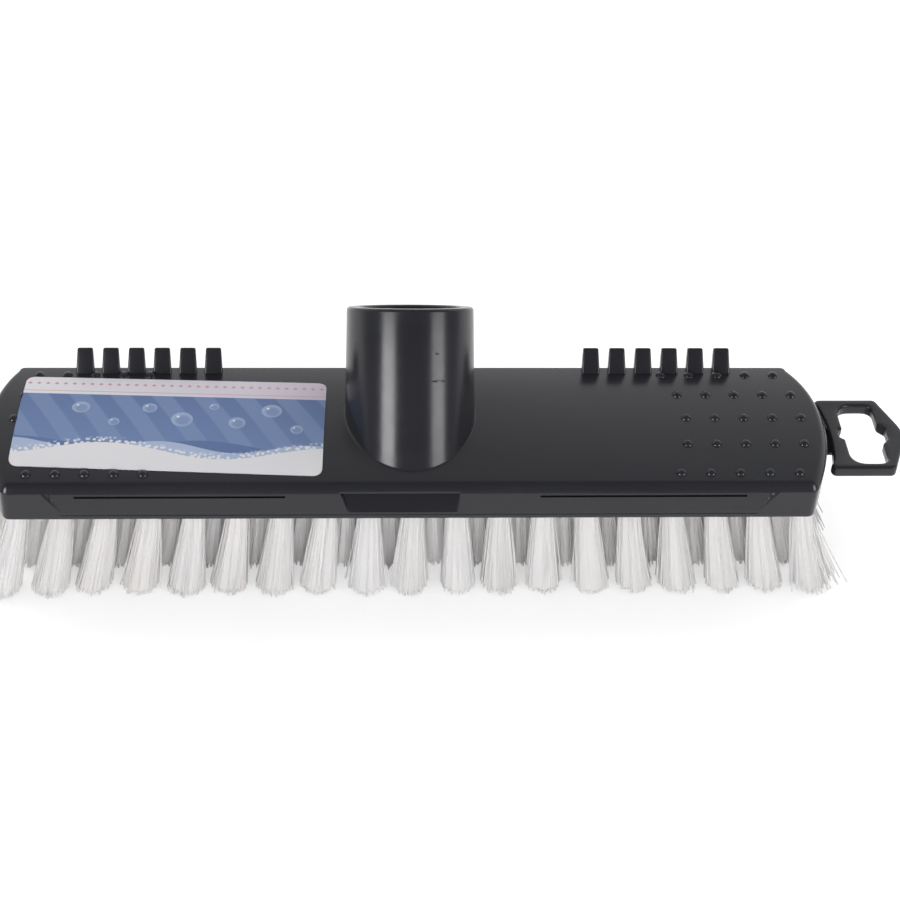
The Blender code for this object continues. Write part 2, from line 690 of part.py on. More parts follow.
def centre_under_box():
    """Hangs everything on an empty that brings the brush's middle over the origin."""
    frame = bpy.data.objects.new("brush_frame", None)
    frame.location = ((BOX_LEFT - BOX_RIGHT) / 2, (BOX_FRONT - BOX_BACK) / 2, 0)
    bpy.context.scene.collection.objects.link(frame)
    for item in bpy.data.objects:
        if item is not frame:
            item.parent = frame


def main():
    clear_scene()
    parts = make_collection("deck_brush")
    cutters = make_collection("deck_brush_cutters")
    block_plastic = make_material("anthracite_plastic", BLOCK_COLOUR, BLOCK_ROUGHNESS)
    tab_plastic = make_material("anthracite_tab", TAB_COLOUR, TAB_ROUGHNESS)
    paper = make_material("label_paper", LABEL_COLOUR, LABEL_ROUGHNESS)
    filament = make_material("white_filament", BRISTLE_COLOUR, BRISTLE_ROUGHNESS)
    build_block(parts, cutters, block_plastic)
    build_tab(parts, cutters, tab_plastic)
    build_label(parts, cutters, paper)
    trim = box("trim_cut", (-LENGTH, -WIDTH, -TRIM), (LENGTH, WIDTH, 0), cutters)
    for row in range(-ROWS_EACH_SIDE, ROWS_EACH_SIDE + 1):
        build_bristle_row(row, trim, parts, cutters, filament)
    centre_under_box()


main()
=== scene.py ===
import math
import random

import bmesh
import bpy
from mathutils import Matrix, Quaternion, Vector


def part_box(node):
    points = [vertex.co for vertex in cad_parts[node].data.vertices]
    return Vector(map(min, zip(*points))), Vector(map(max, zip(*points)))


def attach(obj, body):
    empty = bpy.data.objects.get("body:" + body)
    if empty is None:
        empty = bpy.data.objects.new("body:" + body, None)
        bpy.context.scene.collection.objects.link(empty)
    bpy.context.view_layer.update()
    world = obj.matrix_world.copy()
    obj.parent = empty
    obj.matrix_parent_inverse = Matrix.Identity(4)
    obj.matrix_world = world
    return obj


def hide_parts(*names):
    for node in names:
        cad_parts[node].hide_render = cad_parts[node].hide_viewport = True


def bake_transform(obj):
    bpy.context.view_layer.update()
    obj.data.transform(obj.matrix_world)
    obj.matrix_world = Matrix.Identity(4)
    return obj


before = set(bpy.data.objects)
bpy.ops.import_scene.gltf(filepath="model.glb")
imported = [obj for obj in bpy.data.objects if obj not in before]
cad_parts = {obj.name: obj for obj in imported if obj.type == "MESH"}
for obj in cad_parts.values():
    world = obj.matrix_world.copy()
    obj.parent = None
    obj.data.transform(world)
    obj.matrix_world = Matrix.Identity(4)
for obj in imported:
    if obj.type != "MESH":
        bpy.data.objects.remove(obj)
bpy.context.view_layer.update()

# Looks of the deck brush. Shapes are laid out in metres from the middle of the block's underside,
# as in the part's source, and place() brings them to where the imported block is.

MM = 0.001
MERGE = 0.004 * MM  # points closer than this are one point
SINK = 2.0 * MM  # how far a joined shape reaches into its carrier
LONGEST_CUT_SHARE = 0.49
ROUND_STEPS = 8
SHARP_ABOVE = math.radians(32)
SEARCH_STEPS = 40  # halvings when a crossing is looked for

# Block
LENGTH = 235.0 * MM
WIDTH = 53.2 * MM
END_SAGITTA = 6.4 * MM
ARCH_RADIUS = 126.0 * MM
CREST = 13.8 * MM
EDGE_ROLL = 2.5 * MM  # width of the rounding where the top meets the skirt
ROLL_HEIGHT = 2.0 * MM
ROLL_LEAN = math.radians(33)  # slant at which the rounding leaves the skirt
ROLL_POWER = 2  # of its curve in front
BACK_ROLL_POWER = 4.0  # the same behind, where the edge is tighter
FOOT_ROLL = 0.25 * MM
FOOT_STEPS = 3
ROLL_STEPS = 10
CORNER_STEPS = 7
COLUMN_PITCH = 1.6 * MM
ARCH_ROWS = 48
SKIRT_PITCH = 0.8 * MM
CLOSEST_ROWS = 0.02 * MM
STRAIGHT_BELOW = 1e-6  # share of an outward direction along X that counts as none

# Sunk panels, slots and the front pocket of the skirt
PANEL_TOP_LENGTH = 201.4 * MM
PANEL_BOTTOM_LENGTH = 191.4 * MM
PANEL_DEPTH = 1.5 * MM
PANEL_LIP = 2.3 * MM
PANEL_TOP = 8.85 * MM
PANEL_SLOPE = 0.3 * MM
PANEL_END_STEEPNESS = 1.1  # depth gained for each distance from its ends
GROOVE_BOTTOM = 1.35 * MM
GROOVE_TOP = 1.75 * MM
GROOVE_DEPTH = 0.14 * MM
SLOT_NEAR = 35.0 * MM
SLOT_FAR = 92.0 * MM
SLOT_HEIGHT = 0.6 * MM
SLOT_BELOW_TOP = 1.5 * MM
SLOT_DEPTH = 0.6 * MM
SLOT_SLOPE = 0.12 * MM
POCKET_LEFT = -18.9 * MM
POCKET_RIGHT = 12.55 * MM
POCKET_LEFT_LEAN = -1.3 * MM  # how far its upper corner is from mid-edge
POCKET_RIGHT_LEAN = 0.15 * MM
POCKET_DEPTH = 3.6 * MM
LEAN_KEEP = 1.5 * MM  # columns this near a leaning edge lean as it does
LEAN_FADE = 4.0 * MM  # and those further off less and less
PANEL_END_OFFSETS = (0.05, 0.1, 0.16, 0.3, 0.45, 0.6, 0.9)  # extra columns beside an edge, in mm
SLOT_END_OFFSETS = (0.06, 0.15)
PANEL_LEVEL_OFFSETS = (0.05, 0.1, 0.16, 0.3)  # extra rows beside an edge, in mm
LINE_LEVEL_OFFSETS = (0.03, 0.06)  # beside a slot's or groove's edge

# Handle socket
SOCKET_LEAN = math.radians(34.4)  # from the vertical, to +Y
SOCKET_Y = 2.4 * MM  # where its axis crosses the crest plane
SOCKET_REACH = 29.7 * MM  # from the crest plane to the mouth, along the axis
SOCKET_MOUTH = 17.75 * MM
SOCKET_FOOT = 18.2 * MM
BORE_MOUTH = 14.05 * MM
BORE_FOOT = 13.45 * MM
BORE_FLOOR = -1.3 * MM  # along the axis from the crest plane
RIM_ROUND = 0.9 * MM
RIM_STEPS = 6
SOCKET_STEPS = 144
SOCKET_FILLET = 0.5 * MM
FILLET_STEPS = 8
FILLET_PROUD = 0.012 * MM  # how far the curve's edges stand off what they join
CUP_FLOOR = 1.2 * MM
CUP_WALL = 1.5 * MM
CUTTER_WALL = 0.75 * MM
CUTTER_FLOOR = 0.6 * MM
# Raised marks: height along the axis, and the angles where each begins and ends
MOULD_MARKS = ((10.0 * MM, math.radians(61), math.radians(73)),
               (17.5 * MM, math.radians(67), math.radians(70)))
MARK_HEIGHT = 0.7 * MM
MARK_PROUD = 0.45 * MM
MARK_STEPS = 10
MARK_FADE_FROM = 0.1  # part of a half wave at which a mark begins
MARK_FADE_TO = 0.9
MARK_FADE_POWER = 0.5
MARK_TOP_SHARE = 0.5  # its flat top as a part of its height

# Teeth and studs: by side, -1 is the left end and 1 is the right one
TEETH_PER_GROUP = 6
TOOTH_PITCHES = {-1: 7.33 * MM, 1: 7.63 * MM}
TOOTH_FIRST_X = {-1: 55.6 * MM, 1: 53.6 * MM}
TOOTH_Y = 22.4 * MM  # front face at the foot
TOOTH_WIDTH = 5.6 * MM
TOOTH_THICKNESS = 2.6 * MM
TOOTH_LENGTH = 7.65 * MM
TOOTH_TAPER_X = 0.775  # tip size as a part of foot size
TOOTH_TAPER_Y = 0.85
TOOTH_ROUND = 0.45 * MM
TOOTH_ROUND_STEPS = 4
STUD_COLUMNS = 5
STUD_ROWS_EACH_SIDE = 2
STUD_PITCHES_X = {-1: 7.9 * MM, 1: 8.2 * MM}
STUD_END_MARGINS = {-1: 8.4 * MM, 1: 6.8 * MM}
STUD_PITCH_Y = 10.7 * MM
STUD_RADIUS = 1.5 * MM
STUD_HEIGHT = 1.0 * MM
STUD_STEPS = 24
STUD_RINGS = 7
STUD_TIP_SHARE = 0.04  # its smallest ring, as a part of a quarter turn
STUD_BESIDE_LABEL = 0.9 * MM  # how far a middle stud keeps from the label
STUD_UNDER_LABEL = 0.15 * MM  # height that the label leaves a stud

# Hanging tab and film hinge
TAB_WIDTH = 30.3 * MM
TAB_THICKNESS = 3.65 * MM
TAB_BOTTOM = 4.5 * MM  # above the block's underside
TAB_GAP = 2.5 * MM
TAB_SIDE_LENGTH = 16.0 * MM
TAB_LENGTH = 21.9 * MM
TAB_INNER_ROUND = 2.0 * MM
TAB_OUTER_ROUND = 1.8 * MM
TAB_APEX_ROUND = 12.0 * MM
TAB_EDGE_ROUND = 0.9 * MM
TAB_EDGE_STEPS = 3
TAB_ARC_STEPS = 12
TAB_CORNER_MARGIN = 1.0 * MM  # from the rounded inner corner to the arc beside the block
HOLE_BACK_MARGIN = 2.8 * MM
HOLE_FRONT_MARGIN = 2.25 * MM
HOLE_INNER_MARGIN = 4.0 * MM
HOLE_OUTER_MARGIN = 1.5 * MM
HOLE_ROUND = 3.0 * MM
HOLE_INNER_ROUND = 4.6 * MM
HUMP_WIDTH = 8.5 * MM
HUMP_RISE = 2.0 * MM
HUMP_ROUND = 1.6 * MM
HUMP_TOP_SHARE = 0.5  # part of the notch's width that is full depth
NICK_WIDTH = 5.0 * MM
NICK_RISE = 1.3 * MM
NICK_ROUND = 0.6 * MM
NICK_TOP_SHARE = 0.6
WEB_WIDTH = 11.0 * MM
WEB_THICKNESS = 1.5 * MM
WEB_LINE_THICKNESS = 0.5 * MM
WEB_WAIST_POWER = 1.5  # how slowly it thickens away from the hinge line
WEB_STEPS = 16
WEB_SINK = 0.9 * MM  # how far it reaches into block and tab

# Label
LABEL_LENGTH = 85.2 * MM
LABEL_WIDTH = 38.9 * MM
LABEL_MIDDLE = (-66.6 * MM, -1.1 * MM)
LABEL_TURN = math.radians(-2.6)  # it is stuck on a little askew
LABEL_LIFT = 0.3 * MM  # of its upper face above the block
LABEL_FOOT = 0.02 * MM
LABEL_ROUND = 2.5 * MM
LABEL_CELL = 1.0 * MM
LABEL_SHARP_ABOVE = math.radians(60)

# Bristles
LONG_ROW_TUFTS = 19
TUFT_PITCH_X = 12.05 * MM
TUFT_SHIFT_X = 0.4 * MM
TUFT_PITCH_Y = 10.5 * MM
ROWS_EACH_SIDE = 2
TUFT_HOLE = 3.1 * MM
HOLE_SIDES = 18
HOLE_DEPTH = 2.6 * MM
START_SHARE = 0.8  # part of the hole's depth that the filaments reach into it
ROOT_RADIUS = 2.9 * MM
TIP_RADIUS = 5.2 * MM
FILAMENTS = 150
FILAMENT_RADIUS = 0.21 * MM
FILAMENT_SIDES = 5
FILAMENT_SEGMENTS = 5
FILAMENT_SHARP_ABOVE = math.radians(80)
FAN_POWER = 1.15  # how late a tuft opens towards its tips
FAN_RANGE = (0.94, 1.08)  # tufts open less or more than one another
TUFT_SCATTER = 0.4  # how far a tuft's tips stray together, in mm
TIP_SCATTER = 0.28
BOW_SCATTER = 0.2  # how far a filament bends out of its line, in mm
TURN_SCATTER = 0.15  # of a filament's place round the tuft, as an angle
OUTWARD = 0.4  # below 0.5, the filaments crowd towards the tuft's outside
TIP_LIFT = 0.35  # how unevenly the tips are cut, in mm
TIP_CURVE = 0.25  # how much higher the tips of leaning filaments end
CORE_SIDES = 36
CORE_SHARE = 0.97  # the core's radius as a part of the tuft's
CORE_RIDGE = 0.03
CORE_END = 1.2 * MM
CORE_RAGGED = 0.7 * MM
STRAY_SHARE = 0.03  # filaments that stand out from their tuft
STRAY_RANGE = (0.4, 1.6)  # how far they do so, in mm
END_TUFT_SHARE = 0.95  # tufts that lean this part of the flare are end tufts
END_STRAY_SHARE = 0.22
END_STRAY = 6.0 * MM
END_STRAY_RANGE = (0.1, 1.0)
END_FLARE = 6.5 * MM
SIDE_FLARE = 2.4 * MM
SEED = 29
GOLDEN_ANGLE = math.pi * (3 - math.sqrt(5))

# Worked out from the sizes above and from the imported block
block_low, block_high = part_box("brush_block")
TRIM = block_low.z
ORIGIN = Vector((block_low.x + LENGTH / 2, block_low.y + WIDTH / 2, 0))
HALF_LENGTH = LENGTH / 2
HALF_WIDTH = WIDTH / 2
END_RADIUS = (HALF_WIDTH ** 2 + END_SAGITTA ** 2) / (2 * END_SAGITTA)
INNER_WIDTH = HALF_WIDTH - EDGE_ROLL
INNER_END = END_RADIUS - EDGE_ROLL
END_CENTRE = HALF_LENGTH - END_RADIUS
PANEL_MIDDLE = (PANEL_TOP_LENGTH + PANEL_BOTTOM_LENGTH) / 4
PANEL_LEAN = (PANEL_TOP_LENGTH - PANEL_BOTTOM_LENGTH) / 4
LEANING_EDGES = ((-PANEL_MIDDLE, -PANEL_LEAN), (PANEL_MIDDLE, PANEL_LEAN),
                 (POCKET_LEFT, POCKET_LEFT_LEAN), (POCKET_RIGHT, POCKET_RIGHT_LEAN))
TAB_INNER_X = HALF_LENGTH + TAB_GAP
CORNER_X = END_CENTRE + math.sqrt(INNER_END ** 2 - INNER_WIDTH ** 2)
END_START = math.atan2(-INNER_WIDTH, CORNER_X - END_CENTRE)  # angle where the end arc begins
SOCKET_AXIS = Vector((0, math.sin(SOCKET_LEAN), math.cos(SOCKET_LEAN)))
SOCKET_FRONT = Vector((0, -math.cos(SOCKET_LEAN), math.sin(SOCKET_LEAN)))
SOCKET_BASE = Vector((0, SOCKET_Y, CREST))
FARTHEST_TUFT = (LONG_ROW_TUFTS - 1) / 2 * TUFT_PITCH_X
TUFT_START = TRIM + HOLE_DEPTH * START_SHARE


# Helpers

def mix(a, b, share):
    return a + (b - a) * share


def soft_step(value, width):
    """0 below half the width under zero, 1 above half the width over it, smooth between."""
    share = min(max(value / width + 0.5, 0.0), 1.0)
    return share * share * (3 - 2 * share)


def arch_z(y):
    """Height of the arched top above the underside."""
    return CREST - ARCH_RADIUS + math.sqrt(ARCH_RADIUS ** 2 - y ** 2)


def end_x(y):
    return END_CENTRE + math.sqrt(END_RADIUS ** 2 - y ** 2)


def place(item):
    """Moves a mesh from the block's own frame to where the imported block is."""
    item.data.transform(Matrix.Translation(ORIGIN + Vector((0, 0, TRIM))))
    return item


def new_object(name, mesh):
    item = bpy.data.objects.new(name, mesh)
    bpy.context.scene.collection.objects.link(item)
    return item


def from_bmesh(name, shape):
    mesh = bpy.data.meshes.new(name)
    bmesh.ops.recalc_face_normals(shape, faces=shape.faces)
    shape.to_mesh(mesh)
    shape.free()
    return new_object(name, mesh)


def smooth(item, sharp=SHARP_ABOVE):
    item.data.shade_smooth()
    item.data.set_sharp_from_angle(angle=sharp)
    return item


def evaluated_mesh(item):
    """A new mesh of what an object's modifiers or curve settings make."""
    bpy.context.view_layer.update()
    return bpy.data.meshes.new_from_object(item.evaluated_get(bpy.context.evaluated_depsgraph_get()))


def subtract(item, cutter):
    """Cuts one object out of another, and removes the cutter."""
    modifier = item.modifiers.new("cut", "BOOLEAN")
    modifier.operation = "DIFFERENCE"
    modifier.object = cutter
    modifier.solver = "EXACT"
    mesh = evaluated_mesh(item)
    item.modifiers.clear()
    item.data, old = mesh, item.data
    mesh.name = old.name
    bpy.data.meshes.remove(old)
    bpy.data.objects.remove(cutter, do_unlink=True)


def joined(name, items):
    """One object of several meshes, each still a closed body of its own."""
    shape = bmesh.new()
    for item in items:
        shape.from_mesh(item.data)
        bpy.data.objects.remove(item, do_unlink=True)
    mesh = bpy.data.meshes.new(name)
    shape.to_mesh(mesh)
    shape.free()
    return new_object(name, mesh)


def lathe(shape, rings):
    """Skins rings of vertices, one after another, and closes each ring."""
    for ring, following in zip(rings, rings[1:]):
        for i, vertex in enumerate(ring):
            k = (i + 1) % len(ring)
            shape.faces.new((vertex, ring[k], following[k], following[i]))


def capped_lathe(shape, rings):
    lathe(shape, rings)
    shape.faces.new(rings[0])
    shape.faces.new(rings[-1])


def ring_of(shape, points):
    return [shape.verts.new(point) for point in points]


# Block

def near(middle, offsets):
    """Values on both sides of a middle, and the middle itself."""
    return [middle] + [middle + side * offset * MM for offset in offsets for side in (-1, 1)]


def sorted_values(low, high, pitch, extra):
    """Evenly spread values with extra ones worked in, none closer than CLOSEST_ROWS."""
    count = round((high - low) / pitch)
    values = sorted([low + (high - low) * i / count for i in range(count + 1)] + extra)
    kept = []
    for value in values:
        if low <= value <= high and (not kept or value - kept[-1] > CLOSEST_ROWS):
            kept.append(value)
    kept[-1] = high
    return kept


def columns():
    """Places along the block, denser at the upright edges of panels, slots and pocket."""
    extra = near(SLOT_NEAR, SLOT_END_OFFSETS) + near(SLOT_FAR, SLOT_END_OFFSETS)
    for edge in (PANEL_MIDDLE, -POCKET_LEFT, POCKET_RIGHT):
        extra += near(edge, PANEL_END_OFFSETS)
    half = sorted_values(0, CORNER_X, COLUMN_PITCH, extra)
    return [-x for x in reversed(half[1:])] + half


def skirt_levels():
    """Heights of the skirt's rows on the long sides, denser at the edges of panels and slots."""
    slot_top = PANEL_TOP - SLOT_BELOW_TOP
    slot_bottom = slot_top - SLOT_HEIGHT
    extra = near(PANEL_LIP, PANEL_LEVEL_OFFSETS) + near(PANEL_TOP, PANEL_LEVEL_OFFSETS)
    for level in (slot_top, slot_bottom, GROOVE_BOTTOM, GROOVE_TOP):
        extra += near(level, LINE_LEVEL_OFFSETS)
    return sorted_values(FOOT_ROLL, arch_z(HALF_WIDTH) - ROLL_HEIGHT, SKIRT_PITCH, extra)


def panel_rise(z):
    """0 at the panel's lip and 1 at its top."""
    return min(max((z - PANEL_LIP) / (PANEL_TOP - PANEL_LIP), 0.0), 1.0)


def slanted(x, z):
    """A column's place at a height: those by a leaning edge lean with it."""
    leaned = x
    for middle, lean in LEANING_EDGES:
        away = max(0.0, abs(x - middle) - LEAN_KEEP)
        leaned += mix(-lean, lean, panel_rise(z)) * max(0.0, 1 - away / LEAN_FADE)
    return leaned


def skirt_depth(x, z, front):
    """How far the skirt lies behind its outer face."""
    rise = panel_rise(z)
    below_top = soft_step(PANEL_TOP - z, PANEL_SLOPE)
    within = PANEL_MIDDLE + mix(-PANEL_LEAN, PANEL_LEAN, rise) - abs(x)
    depth = min(PANEL_DEPTH * rise, max(within, 0.0) * PANEL_END_STEEPNESS) * below_top
    slot_top = PANEL_TOP - SLOT_BELOW_TOP
    inside = min(abs(x) - SLOT_NEAR, SLOT_FAR - abs(x), slot_top - z, z - slot_top + SLOT_HEIGHT)
    depth += SLOT_DEPTH * soft_step(inside, SLOT_SLOPE)
    depth += GROOVE_DEPTH * soft_step(min(z - GROOVE_BOTTOM, GROOVE_TOP - z, within), SLOT_SLOPE)
    if front:
        left = POCKET_LEFT + mix(-POCKET_LEFT_LEAN, POCKET_LEFT_LEAN, rise)
        right = POCKET_RIGHT + mix(-POCKET_RIGHT_LEAN, POCKET_RIGHT_LEAN, rise)
        depth += POCKET_DEPTH * rise * below_top * soft_step(min(x - left, right - x), PANEL_SLOPE)
    return depth


def block_stations(places):
    """Stations round the plan: a point inside the edge roll and the direction outwards."""
    down = -math.pi / 2
    turns = [i / CORNER_STEPS for i in range(1, CORNER_STEPS)]
    half = [((x, -INNER_WIDTH), down) for x in places]
    half += [((CORNER_X, -INNER_WIDTH), mix(down, END_START, turn)) for turn in turns]
    for i in range(ARCH_ROWS + 1):
        angle = mix(END_START, -END_START, i / ARCH_ROWS)
        point = (END_CENTRE + INNER_END * math.cos(angle), INNER_END * math.sin(angle))
        half.append((point, angle))
    half += [((CORNER_X, INNER_WIDTH), mix(-END_START, -down, turn)) for turn in turns]
    return half + [((-x, -y), angle + math.pi) for (x, y), angle in half]


def edge_roll(share, y, back):
    """Inset and height of the rolled edge: it leaves the skirt at a slant, but is tight behind."""
    slanting = 2 * share * (1 - share) * ROLL_HEIGHT * math.tan(ROLL_LEAN) + share ** ROLL_POWER * EDGE_ROLL
    inset = mix(slanting, share ** BACK_ROLL_POWER * EDGE_ROLL, back)
    drop = ROLL_HEIGHT * (1 - share) ** mix(ROLL_POWER, BACK_ROLL_POWER, back)
    return inset, arch_z(y) - drop


def foot_roll(share):
    """Inset and height of the small rounding at the skirt's foot."""
    angle = math.pi / 2 * share
    return FOOT_ROLL * (1 - math.sin(angle)), FOOT_ROLL * (1 - math.cos(angle))


def skirt_height(share, y):
    """A level's height in the skirt, whose top follows the arch at the block's ends."""
    return mix(FOOT_ROLL, arch_z(y) - ROLL_HEIGHT, share)


def station_ring(stations, level):
    """Points at one level of the block's edge, sunk where the panels and slots are.

    level(y, back) gives inset and height; back is 1 where the edge faces backwards.
    """
    points = []
    for (x, y), angle in stations:
        out = Vector((math.cos(angle), math.sin(angle)))
        back = max(out.y, 0.0)
        point = Vector((x, y)) + out * (EDGE_ROLL - level(y, back)[0])
        z = level(point.y, back)[1]
        if abs(out.x) < STRAIGHT_BELOW:
            point.x = slanted(point.x, z)
            point.y -= out.y * skirt_depth(point.x, z, out.y < 0)
        points.append((point.x, point.y, z))
    return points


def block_shell():
    """Closed shell of the block: skirt with panels, rolled edges and arched top."""
    shape = bmesh.new()
    places = columns()
    stations = block_stations(places)
    roll_start = arch_z(HALF_WIDTH) - ROLL_HEIGHT
    rings = []
    for i in range(FOOT_STEPS):
        rings.append(station_ring(stations, lambda y, back: foot_roll(i / FOOT_STEPS)))
    for level in skirt_levels():
        share = (level - FOOT_ROLL) / (roll_start - FOOT_ROLL)
        rings.append(station_ring(stations, lambda y, back: (0, skirt_height(share, y))))
    for i in range(1, ROLL_STEPS + 1):
        rings.append(station_ring(stations, lambda y, back: edge_roll(i / ROLL_STEPS, y, back)))
    lathe(shape, [ring_of(shape, ring) for ring in rings])
    shape.verts.ensure_lookup_table()
    shape.faces.new(shape.verts[:len(stations)])
    rows = []
    for i in range(ARCH_ROWS + 1):
        angle = mix(END_START, -END_START, i / ARCH_ROWS)
        y = INNER_END * math.sin(angle)
        stretch = (END_CENTRE + INNER_END * math.cos(angle)) / CORNER_X
        rows.append(ring_of(shape, [(x * stretch, y, arch_z(y)) for x in places]))
    for row, following in zip(rows, rows[1:]):
        for i in range(len(row) - 1):
            shape.faces.new((row[i], row[i + 1], following[i + 1], following[i]))
    bmesh.ops.remove_doubles(shape, verts=shape.verts, dist=MERGE)
    return from_bmesh("block_shell", shape)


def socket_point(radius, height, angle):
    out = Vector((math.cos(angle), 0, 0)) + SOCKET_FRONT * math.sin(angle)
    return SOCKET_BASE + SOCKET_AXIS * height + out * radius


def socket_angles():
    return [2 * math.pi * i / SOCKET_STEPS for i in range(SOCKET_STEPS)]


def socket_ring(shape, radius, height):
    return ring_of(shape, [socket_point(radius, height, angle) for angle in socket_angles()])


def meets_arch(angle):
    """Height along the socket's axis where its wall meets the arched top."""
    low, high = -2 * SOCKET_FOOT, 2 * SOCKET_FOOT
    for _ in range(SEARCH_STEPS):
        height = (low + high) / 2
        point = socket_point(SOCKET_FOOT, height, angle)
        if point.z > arch_z(point.y):
            high = height
        else:
            low = height
    return low


def wall_ring(shape, above):
    """Ring of the socket's outer wall, so far above the arched top."""
    return ring_of(shape, [socket_point(SOCKET_FOOT, meets_arch(a) + above, a) for a in socket_angles()])


def socket_cup():
    """The socket: bore, rounded rim and outer wall, closed below the arched top."""
    shape = bmesh.new()
    profile = [(BORE_FOOT, BORE_FLOOR), (BORE_MOUTH, SOCKET_REACH - RIM_ROUND)]
    for i in range(1, RIM_STEPS + 1):
        angle = math.pi / 2 * i / RIM_STEPS
        profile.append((BORE_MOUTH + RIM_ROUND * (1 - math.cos(angle)),
                        SOCKET_REACH - RIM_ROUND * (1 - math.sin(angle))))
    for i in range(RIM_STEPS + 1):
        angle = math.pi / 2 * i / RIM_STEPS
        profile.append((SOCKET_MOUTH - RIM_ROUND * (1 - math.sin(angle)),
                        SOCKET_REACH - RIM_ROUND * (1 - math.cos(angle))))
    rings = [socket_ring(shape, radius, height) for radius, height in profile]
    rings += [wall_ring(shape, SOCKET_FILLET / 2), wall_ring(shape, -SINK)]
    rings.append(socket_ring(shape, BORE_MOUTH + CUP_WALL, BORE_FLOOR - CUP_FLOOR))
    capped_lathe(shape, rings)
    return from_bmesh("socket_cup", shape)


def socket_cutter():
    """Opens the arched top inside the bore."""
    shape = bmesh.new()
    heights = (BORE_FLOOR - CUTTER_FLOOR, SOCKET_REACH)
    rings = [socket_ring(shape, BORE_MOUTH + CUTTER_WALL, height) for height in heights]
    capped_lathe(shape, rings)
    return from_bmesh("socket_cutter", shape)


def socket_fillet():
    """Small hollow curve where the socket's wall runs into the arched top."""
    shape = bmesh.new()
    profiles = []
    for angle in socket_angles():
        out = Vector((math.cos(angle), 0, 0)) + SOCKET_FRONT * math.sin(angle)
        corner = socket_point(SOCKET_FOOT, meets_arch(angle), angle)
        normal = Vector((0, corner.y, corner.z - CREST + ARCH_RADIUS)).normalized()
        outward = (out - normal * out.dot(normal)).normalized()
        upper = corner + SOCKET_AXIS * SOCKET_FILLET + out * FILLET_PROUD
        lower = corner + outward * SOCKET_FILLET
        lower.z = arch_z(lower.y) + FILLET_PROUD
        profile = [upper - out * SINK, upper + SOCKET_AXIS * SOCKET_FILLET / 3]
        for step in range(FILLET_STEPS + 1):
            share = step / FILLET_STEPS
            profile.append(upper * (1 - share) ** 2 + corner * 2 * share * (1 - share) + lower * share ** 2)
        flange = lower + outward * SOCKET_FILLET / 3
        flange.z = arch_z(flange.y) + FILLET_PROUD / 2
        profile += [flange, lower - normal * SINK, corner - normal * SINK - out * SINK]
        profiles.append(profile)
    rings = [ring_of(shape, level) for level in zip(*profiles)]
    lathe(shape, rings + [rings[0]])
    return from_bmesh("socket_fillet", shape)


def wall_radius(angle, height):
    """Outer radius of the socket's tapered wall."""
    foot = meets_arch(angle) + SOCKET_FILLET / 2
    return mix(SOCKET_FOOT, SOCKET_MOUTH, (height - foot) / (SOCKET_REACH - RIM_ROUND - foot))


def mould_marks():
    """Two thin raised lines that the mould left on the socket."""
    shape = bmesh.new()
    half = MARK_HEIGHT / 2
    outline = ((-MARK_PROUD, -half), (MARK_PROUD, -half * MARK_TOP_SHARE),
               (MARK_PROUD, half * MARK_TOP_SHARE), (-MARK_PROUD, half))
    for height, start, end in MOULD_MARKS:
        rings = []
        for i in range(MARK_STEPS + 1):
            share = i / MARK_STEPS
            angle = mix(start, end, share)
            fade = math.sin(math.pi * mix(MARK_FADE_FROM, MARK_FADE_TO, share)) ** MARK_FADE_POWER
            wall = wall_radius(angle, height)
            rings.append(ring_of(shape, [socket_point(wall + out * fade, height + up * fade, angle)
                                         for out, up in outline]))
        capped_lathe(shape, rings)
    return from_bmesh("mould_marks", shape)


def teeth():
    """Two groups of leaning blades with rounded edges."""
    shape = bmesh.new()
    length = TOOTH_LENGTH + SINK
    lean = Matrix.Rotation(-SOCKET_LEAN, 4, "X")
    for side in (-1, 1):
        for i in range(TEETH_PER_GROUP):
            blade = bmesh.ops.create_cube(shape, size=1.0)["verts"]
            for vertex in blade:
                top = vertex.co.z > 0
                vertex.co.x *= TOOTH_WIDTH * (TOOTH_TAPER_X if top else 1.0)
                vertex.co.y *= TOOTH_TAPER_Y if top else 1.0
                vertex.co.y = (vertex.co.y + 0.5) * TOOTH_THICKNESS
                vertex.co.z = (vertex.co.z + 0.5) * length - SINK
            x = side * (TOOTH_FIRST_X[side] + i * TOOTH_PITCHES[side])
            stand = Matrix.Translation((x, TOOTH_Y, arch_z(TOOTH_Y + TOOTH_THICKNESS / 2)))
            bmesh.ops.transform(shape, matrix=stand @ lean, verts=blade)
    bmesh.ops.bevel(shape, geom=list(shape.edges), offset=TOOTH_ROUND, segments=TOOTH_ROUND_STEPS,
                    profile=0.5, affect="EDGES")
    return from_bmesh("cloth_teeth", shape)


def label_clearance(x, y):
    """How far a point lies outside the label's edge; negative under the label."""
    dx, dy = x - LABEL_MIDDLE[0], y - LABEL_MIDDLE[1]
    turn = -LABEL_TURN
    along = dx * math.cos(turn) - dy * math.sin(turn)
    across = dx * math.sin(turn) + dy * math.cos(turn)
    return max(abs(along) - LABEL_LENGTH / 2, abs(across) - LABEL_WIDTH / 2)


def stud_places():
    """Middles of the studs that show beside the label; their columns follow the block's ends."""
    places = []
    for side in (-1, 1):
        for row in range(-STUD_ROWS_EACH_SIDE, STUD_ROWS_EACH_SIDE + 1):
            y = row * STUD_PITCH_Y
            for column in range(STUD_COLUMNS):
                x = side * (end_x(y) - STUD_END_MARGINS[side] - column * STUD_PITCHES_X[side])
                clear = label_clearance(x, y)
                if clear > -STUD_RADIUS / 2:
                    short = max(0.0, STUD_BESIDE_LABEL - clear) if y == 0 else 0.0
                    places.append((x - short, y))
    return places


